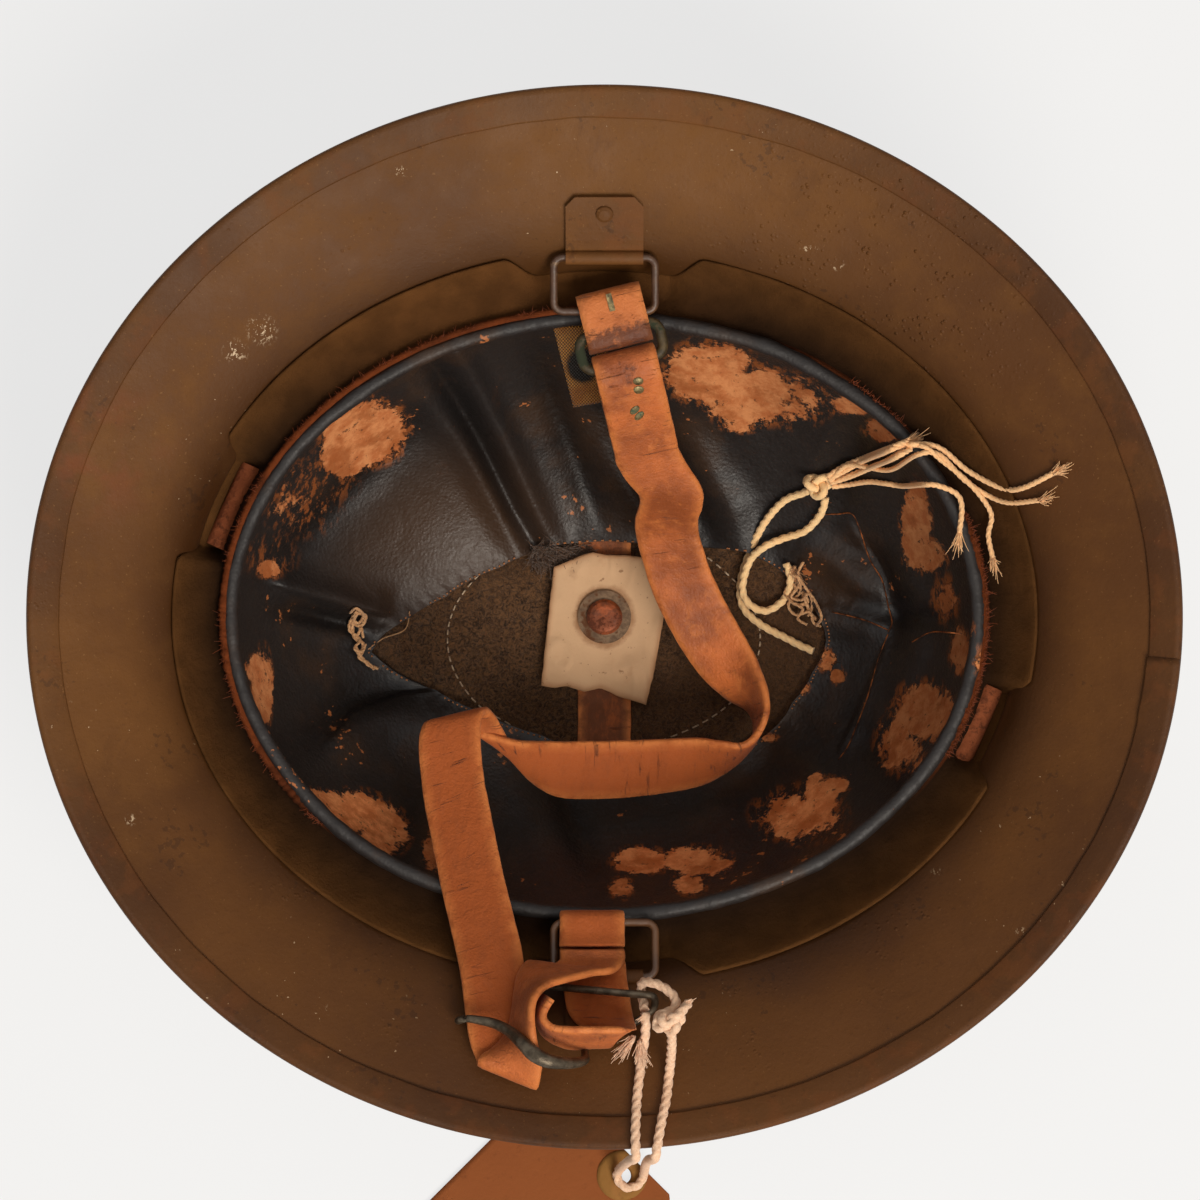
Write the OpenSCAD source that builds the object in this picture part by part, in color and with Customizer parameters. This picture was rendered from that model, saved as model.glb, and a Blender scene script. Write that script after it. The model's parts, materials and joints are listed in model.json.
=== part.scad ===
// Brodie helmet lying on its crown, with its liner, chin strap and tag.
// X runs from back to front, Y across the head, Z up; the crown rivet stands on z = 0.

/* [Shell] */
// Length over the rim, front to back
helmet_length = 305; // [298:1:312]
// Width over the rim, side to side
helmet_width = 281.5; // [276:0.5:288]
// Height of the rim's edge above the surface that the crown stands on
rim_height = 108; // [104:1:112]
// Height at which the wall turns into the flare
wall_height = 74; // [71:1:76]
// Inside length of the bowl at the top of its wall
bowl_length = 224; // [220:1:228]
// Inside width of the bowl at the top of its wall
bowl_width = 186; // [184:1:190]
// Thickness of the steel
shell_t = 0.9; // [0.8:0.1:1.2]
// Roundness of the bowl, 2 is an ellipse
bowl_power = 2.3; // [2.2:0.1:2.5]
// Slope of the brim at its edge, in degrees
brim_slope = 24; // [20:1:28]
// How much lower the rim lies at the sides than at the front and back
rim_sweep = 3; // [0:0.5:4]

/* [Rim binding] */
// Width of the folded strip on the brim
binding_w = 8; // [6:0.5:10]
// Thickness of the strip
binding_t = 0.6; // [0.4:0.1:0.8]

/* [Crown rivet] */
// Diameter of the outer head
rivet_head_d = 13; // [12:0.5:15]
// Height of the outer head
rivet_head_h = 2; // [1.6:0.1:2.4]
// Diameter of the shaft
rivet_shaft_d = 4.2; // [3.8:0.1:4.8]
// Diameter of the closed end inside
rivet_end_d = 10; // [8:0.5:11]
// Height of the closed end inside
rivet_end_h = 1.6; // [1.2:0.1:2]

/* [Crown pieces] */
// Thickness of the felt pad
felt_t = 4.5; // [3.5:0.5:5]
// Half length of the felt pad
felt_rx = 68; // [64:1:70]
// Half width of the felt pad
felt_ry = 44; // [40:1:46]
// Width of the leather strip under the card
strip_w = 15.5; // [12:0.5:18]
// Thickness of the leather strip
strip_t = 1.5; // [1:0.1:2]
// Width of the card
card_w = 28.5; // [26:0.5:32]
// Height of the card
card_h = 35; // [32:1:38]
// Thickness of the card
card_t = 0.4; // [0.3:0.05:0.6]
// Diameter of the washer
washer_d = 15; // [13:0.5:17]
// Thickness of the washer
washer_t = 1.2; // [0.8:0.1:1.6]

/* [Liner] */
// Room from the rolled bead's centreline to the bowl's wall at the ends
bead_room_x = 11.5; // [11:0.5:12.5]
// Room from the rolled bead's centreline to the bowl's wall at the sides
bead_room_y = 12.5; // [12:0.5:13.5]
// Height of the bead's centreline
bead_z = 77; // [76:0.5:78]
// Radius of the bead
bead_r = 2.4; // [2:0.1:2.6]
// Thickness of the cap's leather
cap_t = 1.2; // [1:0.1:1.6]
// Half length of the cap's opening
open_rx = 58; // [54:1:60]
// Half width of the cap's opening
open_ry = 27; // [24:1:30]
// Height of the opening's edge over the shell
open_lift = 9.5; // [8.5:0.5:11]
// Roundness of the cap between the bead and the opening, 1 is a straight cone
cap_power = 1.45; // [1.35:0.05:1.6]
// Depth of the suede band behind the bead
band_h = 25; // [20:1:28]
// Thickness of the suede band
band_t = 1.2; // [1:0.1:1.5]

/* [Rubber tubes] */
// Number of rubber tubes round the band
tube_count = 12; // [8:1:14]
// Length of a tube
tube_l = 24; // [20:1:26]
// Height of a tube
tube_h = 11; // [9:1:12]
// Wall of a tube
tube_wall = 1.2; // [1:0.1:1.4]
// Height of the tubes' middle
tube_z = 67; // [66:0.5:68]
// Diameter of the lace that threads the tubes
lace_d = 1; // [0.8:0.1:1.2]

/* [Brackets and loops] */
// Width of a bracket
bracket_w = 20.8; // [18:0.2:21]
// Thickness of a bracket's folded leaves
bracket_t = 1.6; // [1.2:0.1:2]
// Wall of the bracket round the loop's bar
barrel_t = 0.8; // [0.6:0.1:1]
// Reach of the bracket up the brim from the loop's bar
bracket_reach = 16.2; // [15:0.2:18]
// Diameter of the loop's wire
wire_d = 2.1; // [1.9:0.1:2.3]
// Running clearance of the wire in the bracket, on the radius
wire_clear = 0.07; // [0.04:0.01:0.1]
// Width over the loop
loop_w = 29.3; // [28.9:0.2:31]
// Distance between the loop's two bars
loop_reach = 14.7; // [14:0.1:15.5]
// Radius of the loop's corners, at the middle of the wire
loop_corner = 2.6; // [2.2:0.1:2.8]
// Height of the loop's inner bar over the bead
bar_lift = 4.3; // [4.2:0.1:4.5]
// Diameter of a bracket rivet's shaft
lug_rivet_d = 3; // [2.6:0.1:3.4]
// Diameter of a bracket rivet's domed head
lug_head_d = 4.8; // [4.4:0.1:5.6]

/* [Strap] */
// Width of the chin strap
strap_w = 17.5; // [16:0.5:18]
// Thickness of the chin strap
strap_t = 2.1; // [1.8:0.1:2.3]
// Thickness of the tab's leather
tab_t = 1.8; // [1.6:0.1:2]
// Length of the folded tab
tab_l = 15; // [14.6:0.2:16]
// Length over the wire link, across the strap
link_w = 25; // [24:0.5:27]
// Height over the wire link, along the strap
link_h = 12.2; // [11.8:0.2:12.6]
// Diameter of the link's wire
link_d = 2.8; // [2.4:0.1:3]
// Diameter of a split rivet's shaft
split_d = 1.6; // [1.4:0.1:1.8]
// Diameter of a split rivet's head
split_head_d = 4.6; // [4:0.2:5]

/* [Cords and tag] */
// Diameter of the drawcord
cord_d = 1.9; // [1.7:0.1:2.1]
// Diameter of the drawcord's thin tails
ply_d = 1.1; // [0.9:0.1:1.3]
// Diameter of the tag's string
string_d = 2.7; // [2.4:0.1:2.9]
// Width of the card tag
tag_w = 67; // [60:1:70]
// Length of the card tag
tag_l = 133; // [120:1:135]
// Thickness of the card tag
tag_t = 0.8; // [0.6:0.1:1]
// Length of the tag's round patch
patch_l = 13; // [12:0.5:14]

/* [Hidden] */

gap = 0.3;
around = 60;
rim_rx = helmet_length / 2 - binding_t - gap / 3;
rim_ry = helmet_width / 2 - binding_t - gap / 3;
bowl_rx = bowl_length / 2;
bowl_ry = bowl_width / 2;
bead_rx = bowl_rx - bead_room_x;
bead_ry = bowl_ry - bead_room_y;
crown_z = rivet_head_h + shell_t + 0.05;
flare_rise = 16;
brim_run = 22;
cap_z = 1.1;

// Heights of the stack on the crown
seat_z = bowl_z(card_w * 0.6, card_h * 0.69) + gap + felt_t * 0.6;
strip_z = seat_z + 0.3;
card_z = strip_z + strip_t + 0.1;
washer_z = card_z + card_t + 0.05;
rivet_end_z = washer_z + washer_t + 0.05;

// General helpers
function unit(v) = v / norm(v);
function lerp(a, b, t) = a + (b - a) * t;
function head(p) = [p[0], p[1], p[2]];
function tail(p) = [p[3], p[4], p[5]];
function quad(a, b, c, d) = [[a, b, c], [a, c, d]];
function catmull(a, b, c, d, t) = b + 0.5 * t * ((c - a) + t * ((2 * a - 5 * b + 4 * c - d)
    + t * (3 * (b - c) + d - a)));
function spline(p, steps) = [
    for (i = [0:len(p) - 2]) for (k = [0:steps - 1])
        catmull(p[max(i - 1, 0)], p[i], p[i + 1], p[min(i + 2, len(p) - 1)], k / steps),
    p[len(p) - 1]];

// Skins rows of points with k points each; a closed skin joins the last row to the first
function row_faces(rows, k, closed) = [for (i = [0:rows - (closed ? 1 : 2)]) for (j = [0:k - 1])
    each quad(i * k + j, i * k + (j + 1) % k, ((i + 1) % rows) * k + (j + 1) % k, ((i + 1) % rows) * k + j)];
module skin_capped(rows) {
    k = len(rows[0]);
    n = len(rows);
    polyhedron([for (r = rows) each r], concat(row_faces(n, k, false),
        [[for (j = [k - 1:-1:0]) j], [for (j = [0:k - 1]) (n - 1) * k + j]]), convexity = 6);
}
module skin_closed(rows) {
    polyhedron([for (r = rows) each r], row_faces(len(rows), len(rows[0]), true), convexity = 6);
}
// Skins rows between two single points
module skin_poles(first, rows, last) {
    k = len(rows[0]);
    n = len(rows);
    polyhedron(concat([for (r = rows) each r], [first, last]), concat(row_faces(n, k, false),
        [for (j = [0:k - 1]) [n * k, (j + 1) % k, j]],
        [for (j = [0:k - 1]) [n * k + 1, (n - 1) * k + j, (n - 1) * k + (j + 1) % k]]), convexity = 6);
}

// Frame along a path: the tangent at point i
function tangent(p, i) = unit(p[min(i + 1, len(p) - 1)] - p[max(i - 1, 0)]);
// A flat strap: route points hold a place and the direction of the strap's width
function ribbon_row(p, i, w, t) = let (
    c = head(p[i]), across = unit(tail(p[i])), up = unit(cross(tangent([for (q = p) head(q)], i), across)))
    [c + across * w / 2 + up * t / 2, c + across * w / 2 - up * t / 2,
     c - across * w / 2 - up * t / 2, c - across * w / 2 + up * t / 2];
module ribbon(points, w, t, steps) {
    p = spline(points, steps);
    skin_capped([for (i = [0:len(p) - 1]) ribbon_row(p, i, w, t)]);
}
// A round cord: each ring's first side keeps to the direction of the ring before it
function cord_side(p, i, from) = let (d = tangent(p, i)) unit(from - (from * d) * d);
function cord_sides(p, i, from, made) = i == len(p) ? made
    : let (s = cord_side(p, i, from)) cord_sides(p, i + 1, s, concat(made, [s]));
module cord(points, d, steps, sides = 8) {
    p = spline(points, steps);
    first = tangent(p, 0);
    start = abs(first[2]) < 0.9 ? [0, 0, 1] : [1, 0, 0];
    side = cord_sides(p, 0, start, []);
    skin_capped([for (i = [0:len(p) - 1]) let (b = cross(tangent(p, i), side[i]))
        [for (j = [0:sides - 1]) p[i] + d / 2 * (side[i] * cos(360 * j / sides) - b * sin(360 * j / sides))]]);
}
// A closed wire; a fourth number in a point is its thickness against the wire's own
module wire_ring(points, d, middle, sides = 8) {
    n = len(points);
    skin_closed([for (i = [0:n - 1]) let (
        c = head(points[i]), t = unit(head(points[(i + 1) % n]) - head(points[(i + n - 1) % n])),
        out = c - middle, side = unit(out - (out * t) * t), b = cross(t, side), r = d / 2 * points[i][3])
        [for (j = [0:sides - 1]) c + r * (side * cos(360 * j / sides) - b * sin(360 * j / sides))]]);
}

// The bowl's section: s is 0 at the crown, 1 at the top of the wall and 2 at the rim
function dome(s, a) = [a * pow(sin(90 * s), 2 / bowl_power),
    wall_height - (wall_height - crown_z) * pow(cos(90 * s), 2 / bowl_power)];
function bezier(p, t) = pow(1 - t, 3) * p[0] + 3 * pow(1 - t, 2) * t * p[1]
    + 3 * (1 - t) * t * t * p[2] + t * t * t * p[3];
function flare(a, r) = [[a, wall_height], [a, wall_height + flare_rise],
    [r - brim_run * cos(brim_slope), rim_height - brim_run * sin(brim_slope)], [r, rim_height]];
function section(s, a, r) = s <= 1 ? dome(s, a) : bezier(flare(a, r), s - 1);
function sweep_drop(s, phi) = rim_sweep * pow(max(0, s - 1), 2) * pow(sin(phi), 2);
function inner(s, phi) = let (px = section(s, bowl_rx, rim_rx), py = section(s, bowl_ry, rim_ry))
    [px[0] * cos(phi), py[0] * sin(phi), px[1] - sweep_drop(s, phi)];
function normal(s, phi) = unit(cross(inner(min(s + 0.004, 2), phi) - inner(max(s - 0.004, 0.0005), phi),
    inner(s, phi + 0.3) - inner(s, phi - 0.3)));
function skin(s, phi, off) = inner(s, phi) + off * normal(s, phi);

// Height of the bowl's inner face over a point of the plan, found by halving
function find_s(x, y, lo, hi, n) = n == 0 ? (lo + hi) / 2 : let (m = (lo + hi) / 2,
    px = section(m, bowl_rx, rim_rx), py = section(m, bowl_ry, rim_ry))
    (pow(x / px[0], 2) + pow(y / py[0], 2) > 1) ? find_s(x, y, m, hi, n - 1) : find_s(x, y, lo, m, n - 1);
function bowl_z(x, y) = let (s = find_s(x, y, 0.001, 2, 18), py = section(s, bowl_ry, rim_ry))
    section(s, bowl_rx, rim_rx)[1] - rim_sweep * pow(max(0, s - 1), 2) * pow(y / py[0], 2);

// The liner cap's face: v is 0 at the bead and 1 at the opening's edge
open_x = -6;
open_y = -5;
function cap_mix(v) = pow(cos(90 * v), 2 / cap_power);
function cap_fall(v) = pow(sin(90 * v), 2 / cap_power);
function cap_edge_z(phi) = bowl_z(open_x + open_rx * cos(phi), open_y + open_ry * sin(phi)) + open_lift;
cap_top = bead_z - bead_r - gap;
function cap_plan(v, phi) = let (m = cap_mix(v)) [
    lerp(open_x, 0, m) + lerp(open_rx, bead_rx, m) * cos(phi),
    lerp(open_y, 0, m) + lerp(open_ry, bead_ry, m) * sin(phi)];
function cap_point(v, phi) = let (q = cap_plan(v, phi))
    [q[0], q[1], cap_top - (cap_top - cap_edge_z(phi)) * cap_fall(v)];
function cap_normal(v, phi) = let (a = max(v - 0.02, 0), b = min(v + 0.02, 1))
    unit(cross(cap_point(b, phi) - cap_point(a, phi), cap_point(v, phi - 1) - cap_point(v, phi + 1)));

// Where the loops hinge: height of the bar over the flare
pivot_y = bowl_ry + 3.3;
flare_slope = atan2(bowl_z(0, pivot_y + 1) - bowl_z(0, pivot_y - 1), 2);
barrel_r = wire_d / 2 + wire_clear + barrel_t;
pivot_z = bowl_z(0, pivot_y) + (barrel_r + 0.4) / cos(flare_slope);
bar_z = bead_z + bead_r + bar_lift;
loop_tilt = asin((pivot_z - bar_z) / loop_reach);
bar_y = pivot_y - loop_reach * cos(loop_tilt);
lug_y = pivot_y + bracket_reach - 4.2;
lug_slope = atan2(bowl_z(0, lug_y + 2) - bowl_z(0, lug_y - 2), 4);
lug_z = bowl_z(0, lug_y);

// The wire link and the pieces that hang on it
link_x = 4.5;
link_y = bar_y - link_h / 2 - 3.2;
link_z = bar_z;
link_turn = 14;
strap_turn = 14;
link_bar = link_h / 2 - link_d / 2;
link_corner = 3.3;
tab_low = link_bar - link_d / 2 - 0.5 - tab_t;
cavity = link_d + 0.6;
split_up = [[-10.9, 0.45, 38], [-18.3, -6.45, 43]];

// Height of the cap's face over a point of the plan, found by halving, and of whatever a cord lies on
function cap_out(x, y, v) = let (m = cap_mix(v)) pow((x - lerp(open_x, 0, m)) / lerp(open_rx, bead_rx, m), 2)
    + pow((y - lerp(open_y, 0, m)) / lerp(open_ry, bead_ry, m), 2);
function cap_v(x, y, lo, hi, n) = n == 0 ? lo : let (v = (lo + hi) / 2)
    cap_out(x, y, v) > 1 ? cap_v(x, y, lo, v, n - 1) : cap_v(x, y, v, hi, n - 1);
function cap_phi(x, y, m) = atan2((y - lerp(open_y, 0, m)) / lerp(open_ry, bead_ry, m),
    (x - lerp(open_x, 0, m)) / lerp(open_rx, bead_rx, m));
function cap_z(x, y) = let (v = cap_v(x, y, 0, 1, 16)) cap_point(v, cap_phi(x, y, cap_mix(v)))[2];
function out_of_bead(x, y) = pow(x / bead_rx, 2) + pow(y / bead_ry, 2);
function ground(x, y) = let (e = out_of_bead(x, y), k = sqrt(0.8 / max(e, 0.01))) e < 0.8 ? cap_z(x, y)
    : e < 0.93 ? lerp(cap_z(k * x, k * y), bead_z + bead_r, (e - 0.8) / 0.13)
    : max(e > 1.1 ? bowl_z(x, y) : 0, bead_z + bead_r);
function rest(p) = let (x = p[0] * bowl_rx / route_rx, y = p[1] * bowl_ry / route_ry) [x, y, ground(x, y) + p[2]];

// Routes are drawn for this bowl and follow the bowl's sizes
route_rx = 112;
route_ry = 93;
route_wall = 74;
route_flare = 47.05;
route_pivot = 87.007;
function place_y(y) = abs(y) < route_ry ? y * bowl_ry / route_ry
    : sign(y) * (bowl_ry + (abs(y) - route_ry) * (rim_ry - bowl_ry) / route_flare);
function clamp(t) = min(max(t, 0), 1);
function over_lug(y) = max(0, pivot_z - route_pivot) * clamp((abs(y) - 60) / 30) * clamp((124 - abs(y)) / 18);
function place_cord(p) = [p[0] * bowl_rx / route_rx, place_y(p[1]),
    p[2] + wall_height - route_wall + over_lug(p[1])];
function place(p) = concat(place_cord(p), tail(p));
// Points given from the link's middle or from the lower loop's bar
function link_place(p) = [link_x - p[0] * sin(strap_turn), link_y + p[0] * cos(strap_turn), link_z + p[1],
    cos(strap_turn), sin(strap_turn), 0];
function fold_place(p, side) = [fold_x, p[0] - bar_y, p[1] + bar_z, side, 0, 0];

// The strap's riveted end, in the link's own frame: along the strap and up
fold_r = link_d / 2 + 0.4 + strap_t / 2;
end_upper = [[-8.6, 2.1], [-13, -1.4], [-19, -7.1], [-27, -14.6]];
end_lower = [[-23, -14.8], [-17.5, -9.6], [-12.6, -5.4], [-8.6, -3]];
end_path = concat(end_lower, [for (a = [-90:45:90]) [-link_bar + fold_r * cos(a), fold_r * sin(a)]], end_upper);

// The strap's fold round the lower loop, from the loop's bar
fold_x = -3.3;
loop_fold_r = wire_d / 2 + 0.2 + strap_t / 2;
fold_path = concat([[-6.1, 4.6], [-3.4, 3.2]], [for (a = [90:-45:-90]) [loop_fold_r * cos(a), loop_fold_r * sin(a)]],
    [[-3.4, -1.8], [-6.1, -0.7]]);

// The strap from its riveted end through the bowl, over the edge, under the buckle and back to the loop:
// place, then direction of the width
main_route = concat([link_place([-27.34, -14.93]), link_place([-30.2, -17.6])], [for (p = [
    [14.2, 38.6, 61.3, 0.97, 0.23, 0], [16.7, 33, 55, 0.99, 0.12, 0],
    [17.7, 26.5, 47.5, 1, 0, 0.1], [18.5, 18.5, 40.5, 1, 0.1, 0.15], [21.5, 9.5, 35.5, 0.95, 0.25, 0.15],
    [26.5, -0.8, 32, 0.88, 0.4, 0.2], [32.5, -10.6, 30.5, 0.75, 0.45, 0.35], [38.5, -19, 30.5, 0.55, 0.35, 0.7],
    [42.8, -26, 32, 0.25, 0.05, 0.95], [42, -33, 33.2, 0, 0.05, 1], [37.5, -37.5, 34.6, 0, 0.25, 0.95],
    [31, -39.6, 35, 0.05, 0.6, 0.8], [23.8, -40.6, 34, 0.05, 0.8, 0.6], [9.9, -41.9, 32.8, 0, 0.9, 0.45],
    [-4, -42.4, 35, 0, 0.93, 0.38], [-14, -42, 39, -0.1, 0.9, 0.45], [-22, -39.8, 44, -0.2, 0.65, 0.73],
    [-29, -35.5, 50, -0.5, 0.45, 0.74], [-35, -30.5, 57, -0.8, 0, 0.6], [-39, -27.3, 62.8, -0.93, -0.2, 0.3],
    [-41.3, -28.3, 66.2, -0.96, -0.25, 0.05], [-42, -33.5, 68.2, -0.96, -0.28, 0],
    [-40.8, -46, 71.5, -0.92, -0.38, 0], [-38.2, -58.8, 76.5, -0.9, -0.4, 0], [-35.3, -72, 82.5, -0.9, -0.38, 0],
    [-32.2, -83.8, 88.3, -0.92, -0.34, 0], [-30, -93.5, 92.9, -0.95, -0.26, 0.12],
    [-28.4, -103.5, 96.9, -0.96, -0.2, 0.2], [-27, -112.5, 100.1, -0.98, -0.14, 0.1],
    [-26.3, -118.8, 101.8, -0.98, -0.1, 0.04], [-26, -122, 103, -0.98, -0.08, 0],
    [-25.8, -123.9, 104.9, -0.98, -0.05, -0.05], [-25.4, -122, 106.9, -0.97, -0.05, -0.15],
    [-24.4, -118.4, 108, -0.9, -0.03, -0.4], [-23.2, -115.2, 108.9, -0.7, 0, -0.7],
    [-22.1, -110.5, 108.9, -0.42, 0, -0.9], [-21.6, -105, 107.6, -0.3, 0, -0.95],
    [-20.9, -100, 105.2, -0.3, 0.05, -0.95], [-19, -96.2, 102, -0.42, 0.15, -0.88],
    [-15.2, -94.2, 98.2, -0.62, 0.2, -0.7], [-10.4, -93.6, 95.2, -0.87, 0.12, -0.4],
    [-6, -93.8, 94, -0.98, 0.03, -0.12]]) place(p)], [fold_place([-9.9, 6.85], -1), fold_place([-7.32, 5.22], -1)]);
// The strap's other end, from the loop round to its tip
curl_route = concat([fold_place([-7.32, -0.22], 1), fold_place([-9.5, 1.3], 1)], [for (p = [
    [-3.2, -93.3, 88.7, 1, 0, 0], [-3.1, -95.8, 91, 1, 0, 0.05], [-1.8, -98.8, 93.6, 0.95, -0.1, 0.3],
    [1.4, -102.8, 98.3, 0.8, -0.1, 0.6], [4.3, -106, 103.9, 0.5, -0.05, 0.86], [5.2, -108.8, 108.4, 0.15, 0.2, 0.96], [2.4, -110.6, 109.4, 0, 0.34, 0.94],
    [-4, -111, 109.4, 0, 0.34, 0.94], [-9.8, -111, 109.2, 0.02, 0.34, 0.94], [-14.6, -109.4, 108.6, 0.12, 0.2, 0.96],
    [-16.9, -106.2, 107.8, 0.12, 0.05, 0.98], [-16.8, -103.6, 107, 0.12, 0, 0.98],
    [-14.8, -100.4, 106.4, 0.12, 0, 0.98]]) place(p)]);

// The buckle, one closed wire: wavy bar, right side, thin bar, left side; the fourth number is thickness
buckle_d = 2;
buckle_middle = [-12, -107, 101];
buckle_route = [[-36.4, -106.4, 103, 1], [-33, -106.8, 104, 1.2], [-29, -107.6, 105.4, 1.2],
    [-25, -109.4, 109.5, 1.2], [-21.5, -112, 116, 1.2], [-18.5, -114.6, 118.6, 1.2], [-15, -116.4, 118.6, 1.2],
    [-11, -117.2, 116, 1.2], [-7.6, -117.4, 112, 1.2], [-4.9, -117.2, 107.6, 1.1], [-4, -117.4, 103, 1],
    [-2, -116.9, 99.8, 1], [2, -114.9, 98.9, 1], [6, -111.4, 98.7, 1], [9.6, -107.6, 97.8, 1],
    [12.9, -104, 98.6, 1], [13.3, -101.4, 101, 1], [12, -100.2, 103, 1], [8, -100, 101.8, 1],
    [-4, -99.2, 96.6, 1], [-16, -98.4, 91.6, 1], [-21.9, -98, 89.3, 1], [-26, -100.4, 91.6, 1],
    [-30, -102.8, 93.9, 1], [-35, -106, 95.7, 1], [-38.4, -107.2, 98, 1], [-38.6, -107, 101.2, 1]];

// Cords on the cap: place, then height of the middle over what they lie on
drawcord_route = [[58.5, -9.5, 1.6], [54.6, -7.8, 1.5], [51.6, -6.2, 1.5], [43.8, -2, 1.4], [39, 2.8, 1.4],
    [38.2, 9.2, 1.5], [40.4, 17.1, 1.6], [44.5, 26, 1.9], [49.9, 32.3, 2.2], [55, 34.4, 2.4], [57, 35.3, 3.4]];
strand_route = [[61.2, 33, 3.2], [60.8, 30.5, 2.4], [59.5, 27.7, 2.1], [55.7, 23.9, 1.9], [50, 22, 2.1],
    [44.5, 19.5, 3.2], [40.7, 15.7, 3.9], [38.7, 8.1, 3.9], [40.7, 3.6, 3.9], [45.1, 1.7, 2.8], [49, 3.6, 1.9],
    [51.5, 6.7, 1.7], [52, 11.2, 1.7], [50.9, 15.1, 1.9]];
knot_place = [59.8, 36.5, 4.6];
tail_routes = [
    [[62.8, 38.6, 4], [66, 40.6, 2.4], [70.1, 42.5, 1.9], [75, 44.3, 4.8], [80.8, 46.2, 1.9], [89.7, 45.7, 1.4],
        [97.8, 39.3, 1.4], [106.6, 34.6, 1.6], [111.8, 34.5, 1.4], [119.4, 38.3, 1.2]],
    [[63, 36, 3.6], [67.5, 36.6, 2.2], [72.8, 37.2, 1.9], [77, 36.6, 1.9], [81.7, 35.8, 2], [86, 35.6, 2],
        [90, 35.2, 1.8], [94.8, 33, 1.4], [96.1, 29.3, 1.4], [95.4, 22.6, 1.4]],
    [[61.2, 39.8, 4.2], [64.6, 42.8, 2.6], [69, 46, 2], [73, 48.6, 3.6], [77, 50.6, 1.6]]];
net_routes = [
    [[-71.7, 1.9, 1], [-68.4, -2.8, 1], [-69.8, -7.2, 1], [-68.7, -11.4, 1], [-64.3, -14.5, 1]],
    [[107.3, 27.4, 1.3], [106.8, 22.6, 1.3], [107, 15.9, 1.3]]];

// The tag's string: the turn round the buckle with its bow, then one loop over the rim and through the tag
bow_route = [[22.2, -101.6, 111], [20.6, -103.4, 113.6], [17.4, -106.6, 114.6], [14, -108.2, 112.6],
    [14.4, -105, 111.6], [18.2, -103.4, 111.2], [18.6, -100.6, 109.6], [15.6, -97.8, 107.8], [12, -96.6, 105.8],
    [10, -97, 102.8], [9.8, -99.6, 99.6], [10.3, -102.2, 100.6], [10.6, -104, 102.6]];
string_route = [[10.7, -104.8, 103.5], [10.9, -107.4, 103.6], [10.7, -111.4, 101.8], [9.8, -117.6, 99.6],
    [8.6, -127.6, 102.5], [8.4, -131.6, 104.5], [8.2, -135, 106], [8.2, -140.6, 107.8], [8.2, -142.9, 105.8],
    [8, -144.2, 96],
    [7.6, -146.4, 76], [7, -149, 50], [6.2, -151.8, 28], [5, -154.4, 12], [3.9, -156.4, 4.6], [3.6, -158.6, 3],
    [6, -161.2, 3], [9.6, -160.4, 3], [11, -157.6, 3.6], [11.4, -154.4, 12], [11.8, -151.6, 28],
    [12.2, -148.8, 50], [12.6, -146.4, 76], [13, -144.3, 96], [13.4, -142.9, 105.8], [13.8, -140.6, 107.8],
    [14.8, -135, 106.2], [15.5, -131.6, 104.7], [16.4, -127.6, 103], [17.2, -120.6, 101.4], [17.7, -114, 107.6], [17.6, -109.3, 113.1]];
tag_corner = [5, -158];
tag_turn = 45;

module shell() {
    dome_rings = 9;
    flare_rings = 8;
    ring_s = concat([for (i = [1:dome_rings]) i / dome_rings], [for (i = [1:flare_rings]) 1 + i / flare_rings]);
    n = len(ring_s);
    rows = concat(
        [for (s = ring_s) [for (j = [0:around - 1]) inner(s, 360 * j / around)]],
        [for (i = [n - 1:-1:0]) [for (j = [0:around - 1]) skin(ring_s[i], 360 * j / around, -shell_t)]]);
    color("#5c3d22") difference() {
        skin_poles([0, 0, crown_z], rows, [0, 0, crown_z - shell_t]);
        cylinder(d = rivet_shaft_d + 0.1, h = 4 * rivet_head_h, center = true, $fn = 32);
        for (m = [0, 1]) mirror([0, m, 0]) at_lug() cylinder(d = lug_rivet_d + 0.1, h = 8, center = true, $fn = 32);
    }
}

module rim_binding() {
    off_in = gap / 2;
    lip = find_s(helmet_length / 2 - binding_w, 0, 0.001, 2, 18);
    low = -shell_t - off_in;
    function past(phi, off, far) = skin(2, phi, off) + far * unit(inner(2, phi) - inner(1.98, phi));
    function around_lip(phi) = [skin(lip, phi, off_in + binding_t), past(phi, off_in + binding_t, 0.1),
        past(phi, off_in + binding_t / 2, 0.1 + binding_t), past(phi, low - binding_t / 2, 0.1 + binding_t),
        past(phi, low - binding_t, 0.1), skin(lip, phi, low - binding_t), skin(lip, phi, low),
        past(phi, low, 0.1), past(phi, off_in, 0.1), skin(lip, phi, off_in)];
    color("#5a3c23") skin_closed([for (j = [0:around - 1]) around_lip(-360 * j / around)]);
}

module crown_rivet() {
    color("#8a4a26") union() {
        rotate_extrude($fn = 48) polygon([[0, 0], [rivet_head_d / 2 - 1.4, 0], [rivet_head_d / 2, 0.7],
            [rivet_head_d / 2, 1.1], [rivet_head_d / 2 - 0.6, rivet_head_h], [0, rivet_head_h]]);
        cylinder(d = rivet_shaft_d, h = rivet_end_z + 0.2, $fn = 32);
        translate([0, 0, rivet_end_z]) rotate_extrude($fn = 48) polygon([[0, 0], [rivet_end_d / 2, 0],
            [rivet_end_d / 2, rivet_end_h * 0.4], [rivet_end_d / 2 - 0.8, rivet_end_h * 0.8],
            [rivet_end_d / 2 - 2, rivet_end_h], [0, rivet_end_h]]);
    }
}

module crown_washer() {
    color("#8d8478") translate([0, 0, washer_z]) difference() {
        cylinder(d = washer_d, h = washer_t, $fn = 48);
        translate([0, 0, -1]) cylinder(d = rivet_shaft_d + 0.1, h = washer_t + 2, $fn = 32);
    }
}

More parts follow.
